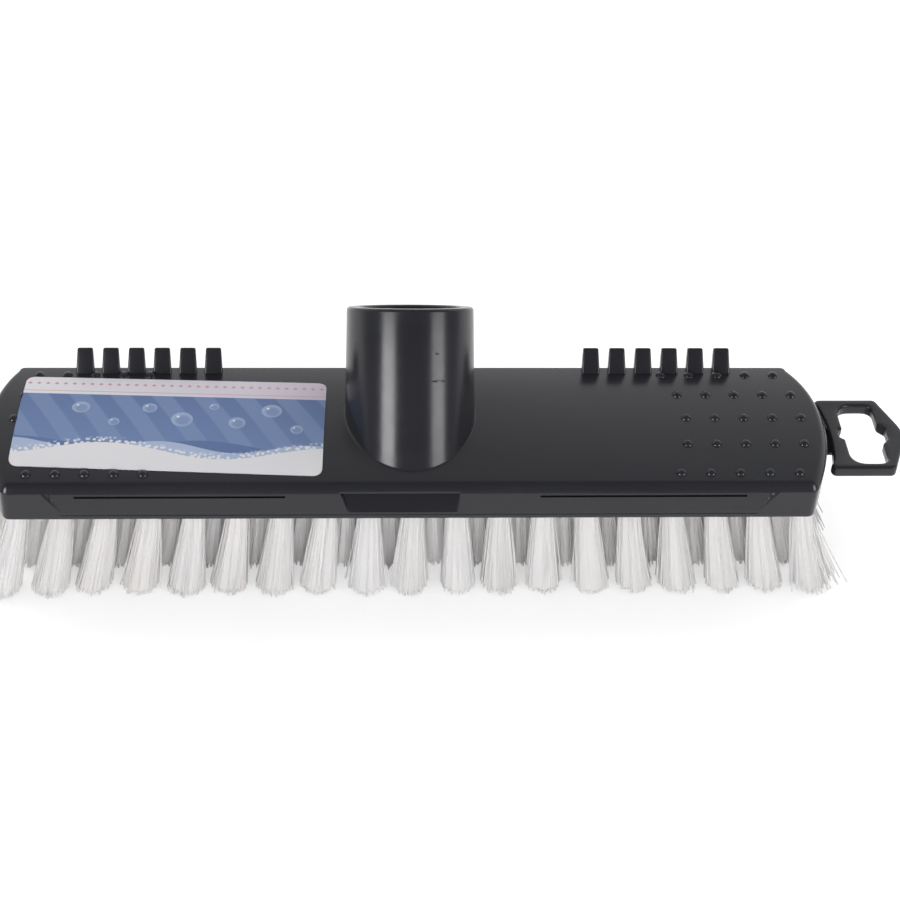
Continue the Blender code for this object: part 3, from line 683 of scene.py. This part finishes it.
def stud_rise(away):
    """Height of a stud's round top at a distance from its middle."""
    ball = (STUD_RADIUS ** 2 + STUD_HEIGHT ** 2) / (2 * STUD_HEIGHT)
    return math.sqrt(max(ball ** 2 - away ** 2, 0)) - ball + STUD_HEIGHT


def studs():
    """Two fields of little domes."""
    shape = bmesh.new()
    for x, y in stud_places():
        rings = []
        for level in range(STUD_RINGS + 1):
            inward = max(level - 1, 0) / (STUD_RINGS - 1)
            away = STUD_RADIUS * math.sin(mix(1.0, STUD_TIP_SHARE, inward) * math.pi / 2)
            height = stud_rise(away) if level else -STUD_HEIGHT
            ring = []
            for i in range(STUD_STEPS):
                angle = 2 * math.pi * i / STUD_STEPS
                px, py = x + away * math.cos(angle), y + away * math.sin(angle)
                rise = height if label_clearance(px, py) > 0 else min(height, STUD_UNDER_LABEL)
                ring.append((px, py, arch_z(y) + rise))
            rings.append(ring_of(shape, ring))
        capped_lathe(shape, rings)
    return from_bmesh("end_studs", shape)


def row_layout(row):
    """A row's place across the block and its tufts' places along it."""
    count = LONG_ROW_TUFTS - row % 2
    return row * TUFT_PITCH_Y, [(k - (count - 1) / 2) * TUFT_PITCH_X + TUFT_SHIFT_X for k in range(count)]


def tuft_holes():
    """Cutters for the round holes that hold the tufts."""
    shape = bmesh.new()
    for row in range(-ROWS_EACH_SIDE, ROWS_EACH_SIDE + 1):
        y, places = row_layout(row)
        for x in places:
            stand = Matrix.Translation((x, y, HOLE_DEPTH - 2 * SINK))
            bmesh.ops.create_cone(shape, cap_ends=True, segments=HOLE_SIDES, radius1=TUFT_HOLE,
                                  radius2=TUFT_HOLE, depth=4 * SINK, matrix=stand)
    return from_bmesh("tuft_holes", shape)


def make_block(material):
    shell = block_shell()
    subtract(shell, socket_cutter())
    subtract(shell, tuft_holes())
    bodies = [shell, socket_cup(), socket_fillet(), mould_marks(), teeth(), studs()]
    block = smooth(place(joined("block_moulding", bodies)))
    block.data.materials.append(material)
    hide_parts("brush_block")
    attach(block, "brush")


# Hanging tab

def rounded(corners, radii):
    """A closed outline with each of its corners rounded by its own radius."""
    points = []
    count = len(corners)
    for i, corner in enumerate(corners):
        here = Vector(corner)
        before = Vector(corners[i - 1]) - here
        after = Vector(corners[(i + 1) % count]) - here
        longest = LONGEST_CUT_SHARE * min(before.length, after.length)
        cut = min(radii[i] / math.tan(before.angle(after) / 2), longest)
        start = here + before.normalized() * cut
        end = here + after.normalized() * cut
        for step in range(ROUND_STEPS + 1):
            share = step / ROUND_STEPS
            points.append(start * (1 - share) ** 2 + here * 2 * share * (1 - share) + end * share ** 2)
    return points


def tab_outline():
    """Five rounded corners, and an arc that follows the block's end."""
    half = TAB_WIDTH / 2
    side = TAB_INNER_X + TAB_SIDE_LENGTH
    inner = end_x(half) + TAB_GAP
    corners = [(inner, -half), (side, -half), (TAB_INNER_X + TAB_LENGTH, 0), (side, half), (inner, half)]
    radii = [TAB_INNER_ROUND, TAB_OUTER_ROUND, TAB_APEX_ROUND, TAB_OUTER_ROUND, TAB_INNER_ROUND]
    points = rounded(corners, radii)
    reach = half - TAB_INNER_ROUND - TAB_CORNER_MARGIN
    for i in range(TAB_ARC_STEPS + 1):
        y = mix(reach, -reach, i / TAB_ARC_STEPS)
        points.append(Vector((end_x(y) + TAB_GAP, y)))
    return points


def tab_hole():
    """The slot, with a notch in its outer edge and a nick in its inner one."""
    back = TAB_WIDTH / 2 - HOLE_BACK_MARGIN
    front = HOLE_FRONT_MARGIN - TAB_WIDTH / 2
    inner = TAB_INNER_X + HOLE_INNER_MARGIN
    outer = TAB_INNER_X + TAB_SIDE_LENGTH - HOLE_OUTER_MARGIN
    nick, nick_top = NICK_WIDTH / 2, NICK_WIDTH / 2 * NICK_TOP_SHARE
    hump, hump_top = HUMP_WIDTH / 2, HUMP_WIDTH / 2 * HUMP_TOP_SHARE
    corners = [(outer, back), (inner, back), (inner, nick), (inner - NICK_RISE, nick_top),
               (inner - NICK_RISE, -nick_top), (inner, -nick), (inner, front), (outer, front),
               (outer, -hump), (outer + HUMP_RISE, -hump_top), (outer + HUMP_RISE, hump_top), (outer, hump)]
    radii = [HOLE_ROUND, HOLE_INNER_ROUND] + [NICK_ROUND] * 4
    radii += [HOLE_INNER_ROUND, HOLE_ROUND] + [HUMP_ROUND] * 4
    return rounded(corners, radii)


def tab_plate():
    """The tab as a plate with rounded edges, from a filled curve."""
    curve = bpy.data.curves.new("tab_outline", "CURVE")
    curve.dimensions = "2D"
    curve.fill_mode = "BOTH"
    curve.extrude = TAB_THICKNESS / 2 - TAB_EDGE_ROUND
    curve.bevel_depth = TAB_EDGE_ROUND
    curve.bevel_resolution = TAB_EDGE_STEPS
    curve.offset = -TAB_EDGE_ROUND
    for outline in (tab_outline(), tab_hole()):
        spline = curve.splines.new("POLY")
        spline.points.add(len(outline) - 1)
        for point, (x, y) in zip(spline.points, outline):
            point.co = (x, y, 0, 1)
        spline.use_cyclic_u = True
    guide = new_object("tab_outline", curve)
    mesh = evaluated_mesh(guide)
    bpy.data.objects.remove(guide, do_unlink=True)
    shape = bmesh.new()
    shape.from_mesh(mesh)
    bpy.data.meshes.remove(mesh)
    bmesh.ops.remove_doubles(shape, verts=shape.verts, dist=MERGE)
    bmesh.ops.translate(shape, vec=(0, 0, TAB_BOTTOM + TAB_THICKNESS / 2), verts=shape.verts)
    return from_bmesh("tab_moulding", shape)


def make_tab(material):
    tab = smooth(place(tab_plate()))
    tab.data.materials.append(material)
    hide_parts("hanging_tab")
    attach(tab, "tab")


def make_web(material):
    """Thin web that joins tab and block, waisted at the hinge line."""
    shape = bmesh.new()
    start = HALF_LENGTH - WEB_SINK
    end = TAB_INNER_X + WEB_SINK
    middle = (start + end) / 2
    half = WEB_WIDTH / 2
    rings = []
    for i in range(WEB_STEPS + 1):
        x = mix(start, end, i / WEB_STEPS)
        away = min(abs(x - middle) / (TAB_GAP / 2), 1.0)
        top = TAB_BOTTOM + mix(WEB_LINE_THICKNESS, WEB_THICKNESS, away ** WEB_WAIST_POWER)
        section = [(x, -half, TAB_BOTTOM), (x, half, TAB_BOTTOM), (x, half, top), (x, -half, top)]
        rings.append(ring_of(shape, section))
    capped_lathe(shape, rings)
    web = smooth(place(from_bmesh("hinge_web", shape)))
    web.data.materials.append(material)
    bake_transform(web)


# Label

def in_rounded_corner(x, y):
    """The point of the label's rounded area that a point of its square grid stands for."""
    inner_x, inner_y = LABEL_LENGTH / 2 - LABEL_ROUND, LABEL_WIDTH / 2 - LABEL_ROUND
    dx, dy = abs(x) - inner_x, abs(y) - inner_y
    if dx > 0 and dy > 0:
        size = max(dx, dy) / math.hypot(dx, dy)
        x = math.copysign(inner_x + dx * size, x)
        y = math.copysign(inner_y + dy * size, y)
    return Vector((x, y))


def grid_rim(grid):
    """The vertices round a grid's edge, in order."""
    right = [row[-1] for row in grid[1:]]
    left = [row[0] for row in grid[-2:0:-1]]
    return grid[0] + right + grid[-1][-2::-1] + left


def make_label(material):
    """Sheet that follows the arched top, with its own flat coordinates as UV."""
    shape = bmesh.new()
    half_x, half_y = LABEL_LENGTH / 2, LABEL_WIDTH / 2
    nx, ny = round(LABEL_LENGTH / LABEL_CELL), round(LABEL_WIDTH / LABEL_CELL)
    turn = Matrix.Rotation(LABEL_TURN, 2)
    middle = Vector(LABEL_MIDDLE)
    layer = shape.loops.layers.uv.new("flat")
    flat_of = {}
    levels = []
    for lift in (LABEL_LIFT, LABEL_FOOT):
        grid = []
        for j in range(ny + 1):
            row = []
            for i in range(nx + 1):
                flat = in_rounded_corner(mix(-half_x, half_x, i / nx), mix(-half_y, half_y, j / ny))
                spot = turn @ flat + middle
                vertex = shape.verts.new((spot.x, spot.y, arch_z(spot.y) + lift))
                flat_of[vertex] = flat
                row.append(vertex)
            grid.append(row)
        levels.append(grid)
    for grid, flip in zip(levels, (1, -1)):
        for j in range(ny):
            for i in range(nx):
                corner_set = (grid[j][i], grid[j][i + 1], grid[j + 1][i + 1], grid[j + 1][i])
                shape.faces.new(corner_set[::flip])
    lathe(shape, [grid_rim(grid) for grid in levels])
    for face in shape.faces:
        for loop in face.loops:
            loop[layer].uv = flat_of[loop.vert] * (1 / LABEL_LENGTH)
    label = smooth(place(from_bmesh("label_sheet", shape)), LABEL_SHARP_ABOVE)
    label.data.materials.append(material)
    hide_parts("label")
    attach(label, "brush")


# Bristles

def tube(path, rings, vertices, faces):
    """Adds a closed tube to the lists; each ring lies round its own place of the path."""
    first = len(vertices)
    sides = len(rings[0])
    for point, ring in zip(path, rings):
        for dx, dy, dz in ring:
            vertices.append((point.x + dx, point.y + dy, point.z + dz))
    for i in range(len(path) - 1):
        for k in range(sides):
            a = first + i * sides + k
            b = first + i * sides + (k + 1) % sides
            faces.append((a, a + sides, b + sides, b))
    faces.append([first + k for k in range(sides)])
    last = first + (len(path) - 1) * sides
    faces.append([last + k for k in reversed(range(sides))])


def filament_ring(turn):
    angles = [turn + 2 * math.pi * k / FILAMENT_SIDES for k in range(FILAMENT_SIDES)]
    return [(FILAMENT_RADIUS * math.cos(a), FILAMENT_RADIUS * math.sin(a), 0.0) for a in angles]


def core(x, y, lean, draw, vertices, faces):
    """Ridged body that stands for the filaments inside a tuft."""
    ridges = [draw.uniform(1 - CORE_RIDGE, 1) if k % 2 else 1 - 2 * CORE_RIDGE for k in range(CORE_SIDES)]
    ragged = [draw.uniform(0, CORE_RAGGED) for _ in range(CORE_SIDES)]
    path, rings = [], []
    for i in range(FILAMENT_SEGMENTS + 1):
        z = mix(TUFT_START, CORE_END, i / FILAMENT_SEGMENTS)
        free = max(0.0, (TRIM - z) / TRIM)
        bundle = mix(ROOT_RADIUS, TIP_RADIUS, free ** FAN_POWER) * CORE_SHARE
        side = lean * free ** FAN_POWER
        path.append(Vector((x + side.x, y + side.y, z)))
        last = 1.0 if i == FILAMENT_SEGMENTS else 0.0
        rings.append([(bundle * ridge * math.cos(2 * math.pi * k / CORE_SIDES),
                       bundle * ridge * math.sin(2 * math.pi * k / CORE_SIDES), ragged[k] * last)
                      for k, ridge in enumerate(ridges)])
    tube(path, rings, vertices, faces)


def scatter(draw, spread):
    """A random step sideways, in millimetres of spread."""
    return Vector((draw.gauss(0, spread), draw.gauss(0, spread))) * MM


def tuft(x, y, lean, draw, vertices, faces):
    """One tuft: filaments from a round hole that fan out towards evenly cut tips."""
    fan = draw.uniform(*FAN_RANGE)
    own = scatter(draw, TUFT_SCATTER)
    at_end = abs(lean.x) > END_TUFT_SHARE * END_FLARE
    for k in range(FILAMENTS):
        angle = GOLDEN_ANGLE * k + draw.uniform(-TURN_SCATTER, TURN_SCATTER)
        out = Vector((math.cos(angle), math.sin(angle))) * ((k + 0.5) / FILAMENTS) ** OUTWARD
        tip = out * TIP_RADIUS * fan + lean + own + scatter(draw, TIP_SCATTER)
        if draw.random() < STRAY_SHARE:
            tip += out * draw.uniform(*STRAY_RANGE) * MM
        if at_end and out.x * lean.x > 0 and draw.random() < END_STRAY_SHARE:
            tip.x += math.copysign(draw.uniform(*END_STRAY_RANGE) * END_STRAY, lean.x)
        lift = abs(draw.gauss(0, TIP_LIFT)) * MM + (tip - lean).length ** 2 / TRIM * TIP_CURVE
        bow = scatter(draw, BOW_SCATTER)
        path = []
        for i in range(FILAMENT_SEGMENTS + 1):
            z = mix(TUFT_START, lift, i / FILAMENT_SEGMENTS)
            free = max(0.0, (TRIM - z) / TRIM)
            side = mix(out * ROOT_RADIUS, tip, free ** FAN_POWER) + bow * math.sin(math.pi * free)
            path.append(Vector((x + side.x, y + side.y, z)))
        tube(path, [filament_ring(draw.uniform(0, 1))] * len(path), vertices, faces)
    core(x, y, lean + own, draw, vertices, faces)


def make_bristles(material):
    for row in range(-ROWS_EACH_SIDE, ROWS_EACH_SIDE + 1):
        number = row + ROWS_EACH_SIDE + 1
        draw = random.Random(SEED + row)
        vertices, faces = [], []
        y, places = row_layout(row)
        for x in places:
            lean = Vector((x / FARTHEST_TUFT * END_FLARE, row / ROWS_EACH_SIDE * SIDE_FLARE))
            tuft(ORIGIN.x + x, ORIGIN.y + y, lean, draw, vertices, faces)
        mesh = bpy.data.meshes.new("tufts_row_%d" % number)
        mesh.from_pydata(vertices, [], faces)
        mesh.update()
        tufts = smooth(new_object(mesh.name, mesh), FILAMENT_SHARP_ABOVE)
        tufts.data.materials.append(material)
        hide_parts("bristle_row_%d" % number)
        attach(tufts, "brush")


# Materials

PLASTIC_DEEP = (0.0172, 0.0177, 0.0230)
PLASTIC_PALE = (0.0208, 0.0213, 0.0272)
PLASTIC_ROUGH = (0.19, 0.26)
PLASTIC_SPECULAR = 0.45
FLOW_SCALE = 60.0  # this and the next scales: marks to a metre
FLOW_STRETCH = (0.3, 1.0, 1.0)
GRAIN_SCALE = 2400.0
SATIN_SCALE = 320.0
DENT_SCALE = 260.0
FILAMENT_WARM = (0.925, 0.90, 0.88)
FILAMENT_COOL = (0.94, 0.93, 0.935)
FILAMENT_ROUGH = (0.4, 0.55)
FILAMENT_SPECULAR = 0.4
STREAK_SCALE = 900.0
MIDDLE_OF_NOISE = (0.35, 0.65)  # part of a noise's range that a band uses
MOST_OF_NOISE = (0.3, 0.7)
BLUE_DEEP = (0.095, 0.165, 0.37)
BLUE_MID = (0.155, 0.245, 0.46)
BLUE_PALE = (0.225, 0.325, 0.54)
BLUE_LIGHT = (0.40, 0.50, 0.69)
PAPER_WHITE = (0.80, 0.79, 0.82)
LILAC = (0.62, 0.56, 0.66)
ROSE = (0.62, 0.30, 0.38)
# The label's print, in parts of its length from its middle. Bubbles: middle and radius
BUBBLES = (((-0.30, 0.055), 0.030), ((-0.185, -0.015), 0.019), ((-0.075, 0.06), 0.025),
           ((0.035, 0.005), 0.036), ((0.135, 0.075), 0.017), ((0.215, -0.005), 0.028),
           ((0.325, 0.06), 0.034), ((0.41, -0.03), 0.021))
# Waves: height above the middle, swell, length, phase and colour
WAVES = ((-0.115, 0.020, 0.60, 0.4, BLUE_DEEP), (-0.125, 0.022, 0.48, 1.9, BLUE_LIGHT),
         (-0.145, 0.030, 0.72, 3.3, PAPER_WHITE))
PRINT_EDGE = 0.0012  # width over which one colour gives way to another
BEAM_SLANT = 0.6
BEAM_COUNT = 46.0
BEAM_STRENGTH = 0.45
FOAM_SCALE = 62.0
STRIP_FROM = 0.128
STRIP_MIDDLE = 0.190
STRIP_LINE = 0.145
LOZENGES = 34.0
FIBRE_SCALE = 420.0
WAVINESS_SCALE = 9.0
PAPER_ROUGH = (0.34, 0.46)
PAPER_SPECULAR = 0.35


class Nodes:
    """Short calls for building a node tree."""

    def __init__(self, name):
        self.material = bpy.data.materials.new(name)
        self.material.use_nodes = True
        self.tree = self.material.node_tree
        self.shader = self.tree.nodes["Principled BSDF"]

    def add(self, kind, inputs=(), **settings):
        node = self.tree.nodes.new(kind)
        for key, value in settings.items():
            setattr(node, key, value)
        for key, value in dict(inputs).items():
            self.put(node.inputs[key], value)
        return node

    def put(self, socket, value):
        if isinstance(value, bpy.types.NodeSocket):
            self.tree.links.new(value, socket)
        else:
            socket.default_value = value

    def math(self, operation, *values):
        node = self.add("ShaderNodeMath", operation=operation)
        for socket, value in zip(node.inputs, values):
            self.put(socket, value)
        return node.outputs[0]

    def blend(self, factor, a, b):
        """Mix of two colours."""
        node = self.add("ShaderNodeMix", data_type="RGBA")
        self.put(node.inputs["Factor"], factor)
        for socket, value in zip((node.inputs[6], node.inputs[7]), (a, b)):
            self.put(socket, value if isinstance(value, bpy.types.NodeSocket) else (*value, 1.0))
        return node.outputs[2]

    def band(self, value, low, high, to_low=0.0, to_high=1.0):
        node = self.add("ShaderNodeMapRange", {"Value": value, "From Min": low, "From Max": high,
                                               "To Min": to_low, "To Max": to_high})
        return node.outputs["Result"]

    def noise(self, vector, scale, detail=2.0, roughness=0.5, distortion=0.0):
        node = self.add("ShaderNodeTexNoise", {"Vector": vector, "Scale": scale, "Detail": detail,
                                               "Roughness": roughness, "Distortion": distortion})
        return node.outputs["Fac"]

    def bump(self, height, distance, strength, under=None):
        node = self.add("ShaderNodeBump", {"Height": height, "Distance": distance, "Strength": strength})
        if under:
            self.put(node.inputs["Normal"], under)
        return node.outputs["Normal"]

    def shade(self, colour, rough, specular, normal=None):
        """Sets the shader's main sockets: a number or colour on the socket itself, or a link."""
        looks = {"Base Color": colour, "Roughness": rough, "Specular IOR Level": specular}
        if normal:
            looks["Normal"] = normal
        for key, value in looks.items():
            self.put(self.shader.inputs[key], value)
        return self.material

    def object_space(self):
        return self.add("ShaderNodeTexCoord").outputs["Object"]


def plastic():
    """Dark moulded plastic with faint flow marks and a fine satin grain."""
    n = Nodes("anthracite_plastic")
    where = n.object_space()
    stretched = n.add("ShaderNodeMapping", {"Vector": where, "Scale": FLOW_STRETCH}).outputs["Vector"]
    flow = n.noise(stretched, FLOW_SCALE, detail=4.0, roughness=0.55, distortion=0.8)
    speck = n.noise(where, GRAIN_SCALE, roughness=0.6)
    tone = n.math("ADD", n.math("MULTIPLY", flow, 0.7), n.math("MULTIPLY", speck, 0.3))
    colour = n.blend(n.band(tone, *MIDDLE_OF_NOISE), PLASTIC_DEEP, PLASTIC_PALE)
    satin = n.noise(where, SATIN_SCALE, detail=3.0)
    rough = n.math("ADD", n.math("MULTIPLY", satin, 0.5), n.math("MULTIPLY", flow, 0.5))
    grain = n.bump(speck, distance=0.012 * MM, strength=0.25)
    dents = n.bump(n.noise(where, DENT_SCALE), distance=0.03 * MM, strength=0.2, under=grain)
    return n.shade(colour, n.band(rough, *MOST_OF_NOISE, *PLASTIC_ROUGH), PLASTIC_SPECULAR, dents)


def filament():
    """White stiff nylon, each filament a little different."""
    n = Nodes("white_filament")
    own = n.add("ShaderNodeNewGeometry").outputs["Random Per Island"]
    streak = n.noise(n.object_space(), STREAK_SCALE)
    tone = n.blend(own, FILAMENT_WARM, FILAMENT_COOL)
    colour = n.blend(n.band(streak, *MIDDLE_OF_NOISE, 0.0, 0.5), tone, FILAMENT_COOL)
    ridges = n.bump(streak, distance=0.02 * MM, strength=0.2)
    return n.shade(colour, n.band(own, 0.0, 1.0, *FILAMENT_ROUGH), FILAMENT_SPECULAR, ridges)


def disc(n, u, v, middle, radius, soft):
    """1 inside a circle on the label, 0 outside it."""
    du = n.math("SUBTRACT", u, middle[0])
    dv = n.math("SUBTRACT", v, middle[1])
    away = n.math("SQRT", n.math("ADD", n.math("MULTIPLY", du, du), n.math("MULTIPLY", dv, dv)))
    return n.band(away, radius, radius - soft)


def swell(n, u, middle, height, length, phase):
    """Height of a wave line along the label."""
    turn = n.math("ADD", n.math("MULTIPLY", u, 2 * math.pi / length), phase)
    return n.math("ADD", n.math("MULTIPLY", n.math("SINE", turn), height), middle)


def print_beams(n, u, v):
    """Blue ground with slanting lighter bands."""
    slant = n.math("ADD", u, n.math("MULTIPLY", v, BEAM_SLANT))
    beams = n.band(n.math("SINE", n.math("MULTIPLY", slant, BEAM_COUNT)), -0.15, 0.15)
    ground = n.blend(n.band(v, -0.2, 0.12), BLUE_MID, BLUE_DEEP)
    return n.blend(n.math("MULTIPLY", beams, BEAM_STRENGTH), ground, BLUE_PALE)


def print_bubble(n, u, v, colour, middle, radius):
    """A round bubble: a pale rim, a darker heart and a glint."""
    x, y = middle
    ball = disc(n, u, v, middle, radius, PRINT_EDGE)
    heart = disc(n, u, v, (x + radius * 0.1, y - radius * 0.12), radius * 0.86, radius * 0.35)
    glint = disc(n, u, v, (x - radius * 0.38, y + radius * 0.36), radius * 0.2, radius * 0.1)
    colour = n.blend(n.math("MULTIPLY", ball, 0.7), colour, BLUE_LIGHT)
    colour = n.blend(n.math("MULTIPLY", heart, 0.75), colour, BLUE_MID)
    return n.blend(glint, colour, PAPER_WHITE)


def print_waves(n, uv, u, v, colour):
    """Three waves, one before another, with foam along the front one."""
    for middle, height, length, phase, tone in WAVES:
        line = swell(n, u, middle, height, length, phase)
        under = n.band(n.math("SUBTRACT", line, v), -PRINT_EDGE / 2, PRINT_EDGE / 2)
        colour = n.blend(under, colour, tone)
    foam = n.add("ShaderNodeTexVoronoi", {"Vector": uv, "Scale": FOAM_SCALE, "Randomness": 0.9},
                 voronoi_dimensions="2D")
    cells = n.band(foam.outputs["Distance"], 0.4, 0.3)
    crest = swell(n, u, *WAVES[-1][:4])
    close = n.band(n.math("ABSOLUTE", n.math("SUBTRACT", crest, v)), 0.03, 0.012)
    return n.blend(n.math("MULTIPLY", cells, close), colour, PAPER_WHITE)


def print_strip(n, u, v, colour):
    """Pale strip along the label's far edge, with a thin line and a row of lozenges."""
    strip = n.band(v, STRIP_FROM - PRINT_EDGE, STRIP_FROM)
    step = n.math("SUBTRACT", n.math("FRACT", n.math("MULTIPLY", u, LOZENGES)), 0.5)
    row = n.math("MULTIPLY", n.math("SUBTRACT", v, STRIP_MIDDLE), LOZENGES)
    lozenge = n.math("ADD", n.math("ABSOLUTE", step), n.math("ABSOLUTE", row))
    tone = n.blend(n.band(u, -0.5, 0.5), PAPER_WHITE, LILAC)
    tone = n.blend(n.band(lozenge, 0.3, 0.25), tone, ROSE)
    line = n.band(n.math("ABSOLUTE", n.math("SUBTRACT", v, STRIP_LINE)), 0.0018, 0.001)
    return n.blend(strip, colour, n.blend(line, tone, ROSE))


def label_paper():
    """Coated paper with a generic print: waves, foam, bubbles and a pale strip of lozenges."""
    n = Nodes("label_print")
    uv = n.add("ShaderNodeUVMap", uv_map="flat").outputs["UV"]
    parts = n.add("ShaderNodeSeparateXYZ", {"Vector": uv})
    u, v = parts.outputs["X"], parts.outputs["Y"]
    colour = print_beams(n, u, v)
    for middle, radius in BUBBLES:
        colour = print_bubble(n, u, v, colour, middle, radius)
    colour = print_waves(n, uv, u, v, colour)
    colour = print_strip(n, u, v, colour)
    fibre = n.noise(uv, FIBRE_SCALE, detail=3.0, roughness=0.6)
    colour = n.blend(n.band(fibre, *MOST_OF_NOISE, 0.0, 0.06), colour, PAPER_WHITE)
    waviness = n.bump(n.noise(uv, WAVINESS_SCALE), distance=0.3 * MM, strength=0.3)
    fibres = n.bump(fibre, distance=0.01 * MM, strength=0.3, under=waviness)
    return n.shade(colour, n.band(fibre, *MOST_OF_NOISE, *PAPER_ROUGH), PAPER_SPECULAR, fibres)


# Stage, light and camera

def floor_material():
    """Pale floor that keeps the shadow and is lifted to white as a background."""
    n = Nodes("floor_paint")
    rays = n.add("ShaderNodeLightPath").outputs
    seen = n.math("MAXIMUM", rays["Is Camera Ray"], n.math("MAXIMUM", rays["Is Glossy Ray"],
                                                          rays["Is Transmission Ray"]))
    n.shader.inputs["Emission Color"].default_value = (1, 1, 1, 1)
    n.put(n.shader.inputs["Emission Strength"], n.math("MULTIPLY", seen, FLOOR_LIFT))
    return n.shade((*FLOOR_COLOUR, 1), FLOOR_ROUGH, FLOOR_SPECULAR)


def make_floor():
    shape = bmesh.new()
    bmesh.ops.create_grid(shape, x_segments=1, y_segments=1, size=FLOOR_REACH)
    floor = from_bmesh("floor", shape)
    floor.location = (0, 0, -FLOOR_DROP)
    floor.data.materials.append(floor_material())


def make_world():
    """Soft studio: white behind and near the horizon, darker overhead and in front."""
    world = bpy.data.worlds.new("studio")
    bpy.context.scene.world = world
    world.use_nodes = True
    tree = world.node_tree
    coords = tree.nodes.new("ShaderNodeTexCoord")
    way = tree.nodes.new("ShaderNodeSeparateXYZ")
    ramp = tree.nodes.new("ShaderNodeValToRGB")
    tree.links.new(coords.outputs["Generated"], way.inputs["Vector"])
    tree.links.new(way.outputs["Z"], ramp.inputs["Fac"])
    stops = ramp.color_ramp.elements
    while len(stops) < len(SKY):
        stops.new(0.5)
    for stop, (height, level) in zip(stops, SKY):
        stop.position = height
        stop.color = (level, level, level, 1)
    tree.links.new(ramp.outputs["Color"], tree.nodes["Background"].inputs["Color"])
    depth = tree.nodes.new("ShaderNodeMapRange")
    tree.links.new(way.outputs["Y"], depth.inputs["Value"])
    levels = (("From Min", 0.0), ("From Max", SKY_BACK_FROM), ("To Min", SKY_FRONT), ("To Max", SKY_BACK))
    for key, value in levels:
        depth.inputs[key].default_value = value
    tree.links.new(depth.outputs["Result"], tree.nodes["Background"].inputs["Strength"])


def soft_light(name, azimuth, elevation, roll, distance, size, brightness, in_gloss, in_diffuse):
    """Area light that looks at the brush; azimuth 0 is in front, and 90 to the right."""
    data = bpy.data.lights.new(name, "AREA")
    data.shape = "RECTANGLE"
    data.size, data.size_y = size
    data.energy = brightness * size[0] * size[1] * math.pi
    a, e = math.radians(azimuth), math.radians(elevation)
    way = Vector((math.sin(a) * math.cos(e), -math.cos(a) * math.cos(e), math.sin(e)))
    lamp = new_object(name, data)
    lamp.location = Vector((ORIGIN.x, ORIGIN.y, LIGHTS_AIM_Z)) + way * distance
    lamp.visible_glossy = in_gloss
    lamp.visible_diffuse = in_diffuse
    lamp.rotation_mode = "QUATERNION"
    lamp.rotation_quaternion = Quaternion(way, math.radians(roll)) @ way.to_track_quat("Z", "Y")


# Floor and sky: colour, lift for the camera, reach and drop; brightness at the sine of each elevation
FLOOR_COLOUR = (0.86, 0.86, 0.86)
FLOOR_ROUGH = 0.9
FLOOR_SPECULAR = 0.0
FLOOR_LIFT = 0.5
FLOOR_REACH = 4.0
FLOOR_DROP = 0.0002
SKY = ((0.0, 0.98), (0.2, 0.95), (0.35, 0.86), (0.55, 0.80), (0.72, 0.72), (0.85, 0.57), (0.97, 0.42))
SKY_FRONT = 0.33
SKY_BACK = 1.0
SKY_BACK_FROM = 0.38  # backward share of a direction where the full sky begins

# Lights: name, azimuth, elevation, roll, distance, size, brightness, and whether gloss and matt
# surfaces take their light
LIGHTS_AIM_Z = 0.045
LIGHTS = (("left_front_box", -46, 23, 23, 0.9, (0.36, 0.25), 11.5, True, False),
          ("right_front_box", 53, 21, -27, 0.9, (0.38, 0.24), 6.7, True, False),
          ("front_fill", -2, 7, 0, 1.0, (0.7, 0.32), 6.2, False, True),
          ("top_fill", 0, 75, 0, 1.2, (1.0, 1.0), 0.7, False, True),
          ("left_side_box", -125, 45, 0, 1.0, (0.7, 0.7), 1.2, False, True),
          ("right_side_box", 125, 45, 0, 1.0, (0.7, 0.7), 1.2, False, True))


# The photograph's camera, found by matching the block's outline: place, turn and focal length
CAMERA_PLACE = Vector((-31.62, -446.72, 384.15)) * MM
CAMERA_PITCH = math.radians(40.48)
CAMERA_YAW = math.radians(3.913)
CAMERA_ROLL = math.radians(2.437)
FOCAL_PIXELS = 2074.4
CENTRE_PIXEL_X = 405.0
FRAME_PIXELS = 900.0
SENSOR = 36.0


def make_camera():
    data = bpy.data.cameras.new("photo_camera")
    data.sensor_width = SENSOR
    data.lens = FOCAL_PIXELS / FRAME_PIXELS * SENSOR
    data.shift_x = (FRAME_PIXELS / 2 - CENTRE_PIXEL_X) / FRAME_PIXELS
    data.clip_start, data.clip_end = 0.01, 20.0
    level = math.cos(CAMERA_PITCH)
    ahead = Vector((math.sin(CAMERA_YAW) * level, math.cos(CAMERA_YAW) * level, -math.sin(CAMERA_PITCH)))
    right = Vector((math.cos(CAMERA_YAW), -math.sin(CAMERA_YAW), 0))
    up = right.cross(ahead)
    turned_right = right * math.cos(CAMERA_ROLL) + up * math.sin(CAMERA_ROLL)
    turned_up = up * math.cos(CAMERA_ROLL) - right * math.sin(CAMERA_ROLL)
    camera = new_object("photo_camera", data)
    spot = CAMERA_PLACE + ORIGIN + Vector((0, 0, TRIM))
    basis = Matrix((turned_right, turned_up, -ahead)).transposed()
    camera.matrix_world = Matrix.Translation(spot) @ basis.to_4x4()
    bpy.context.scene.camera = camera


def main():
    block_plastic = plastic()
    make_block(block_plastic)
    make_tab(block_plastic)
    make_web(block_plastic)
    make_label(label_paper())
    make_bristles(filament())
    make_floor()
    make_world()
    for light in LIGHTS:
        soft_light(*light)
    make_camera()
    bpy.context.scene.view_settings.view_transform = "Standard"


main()
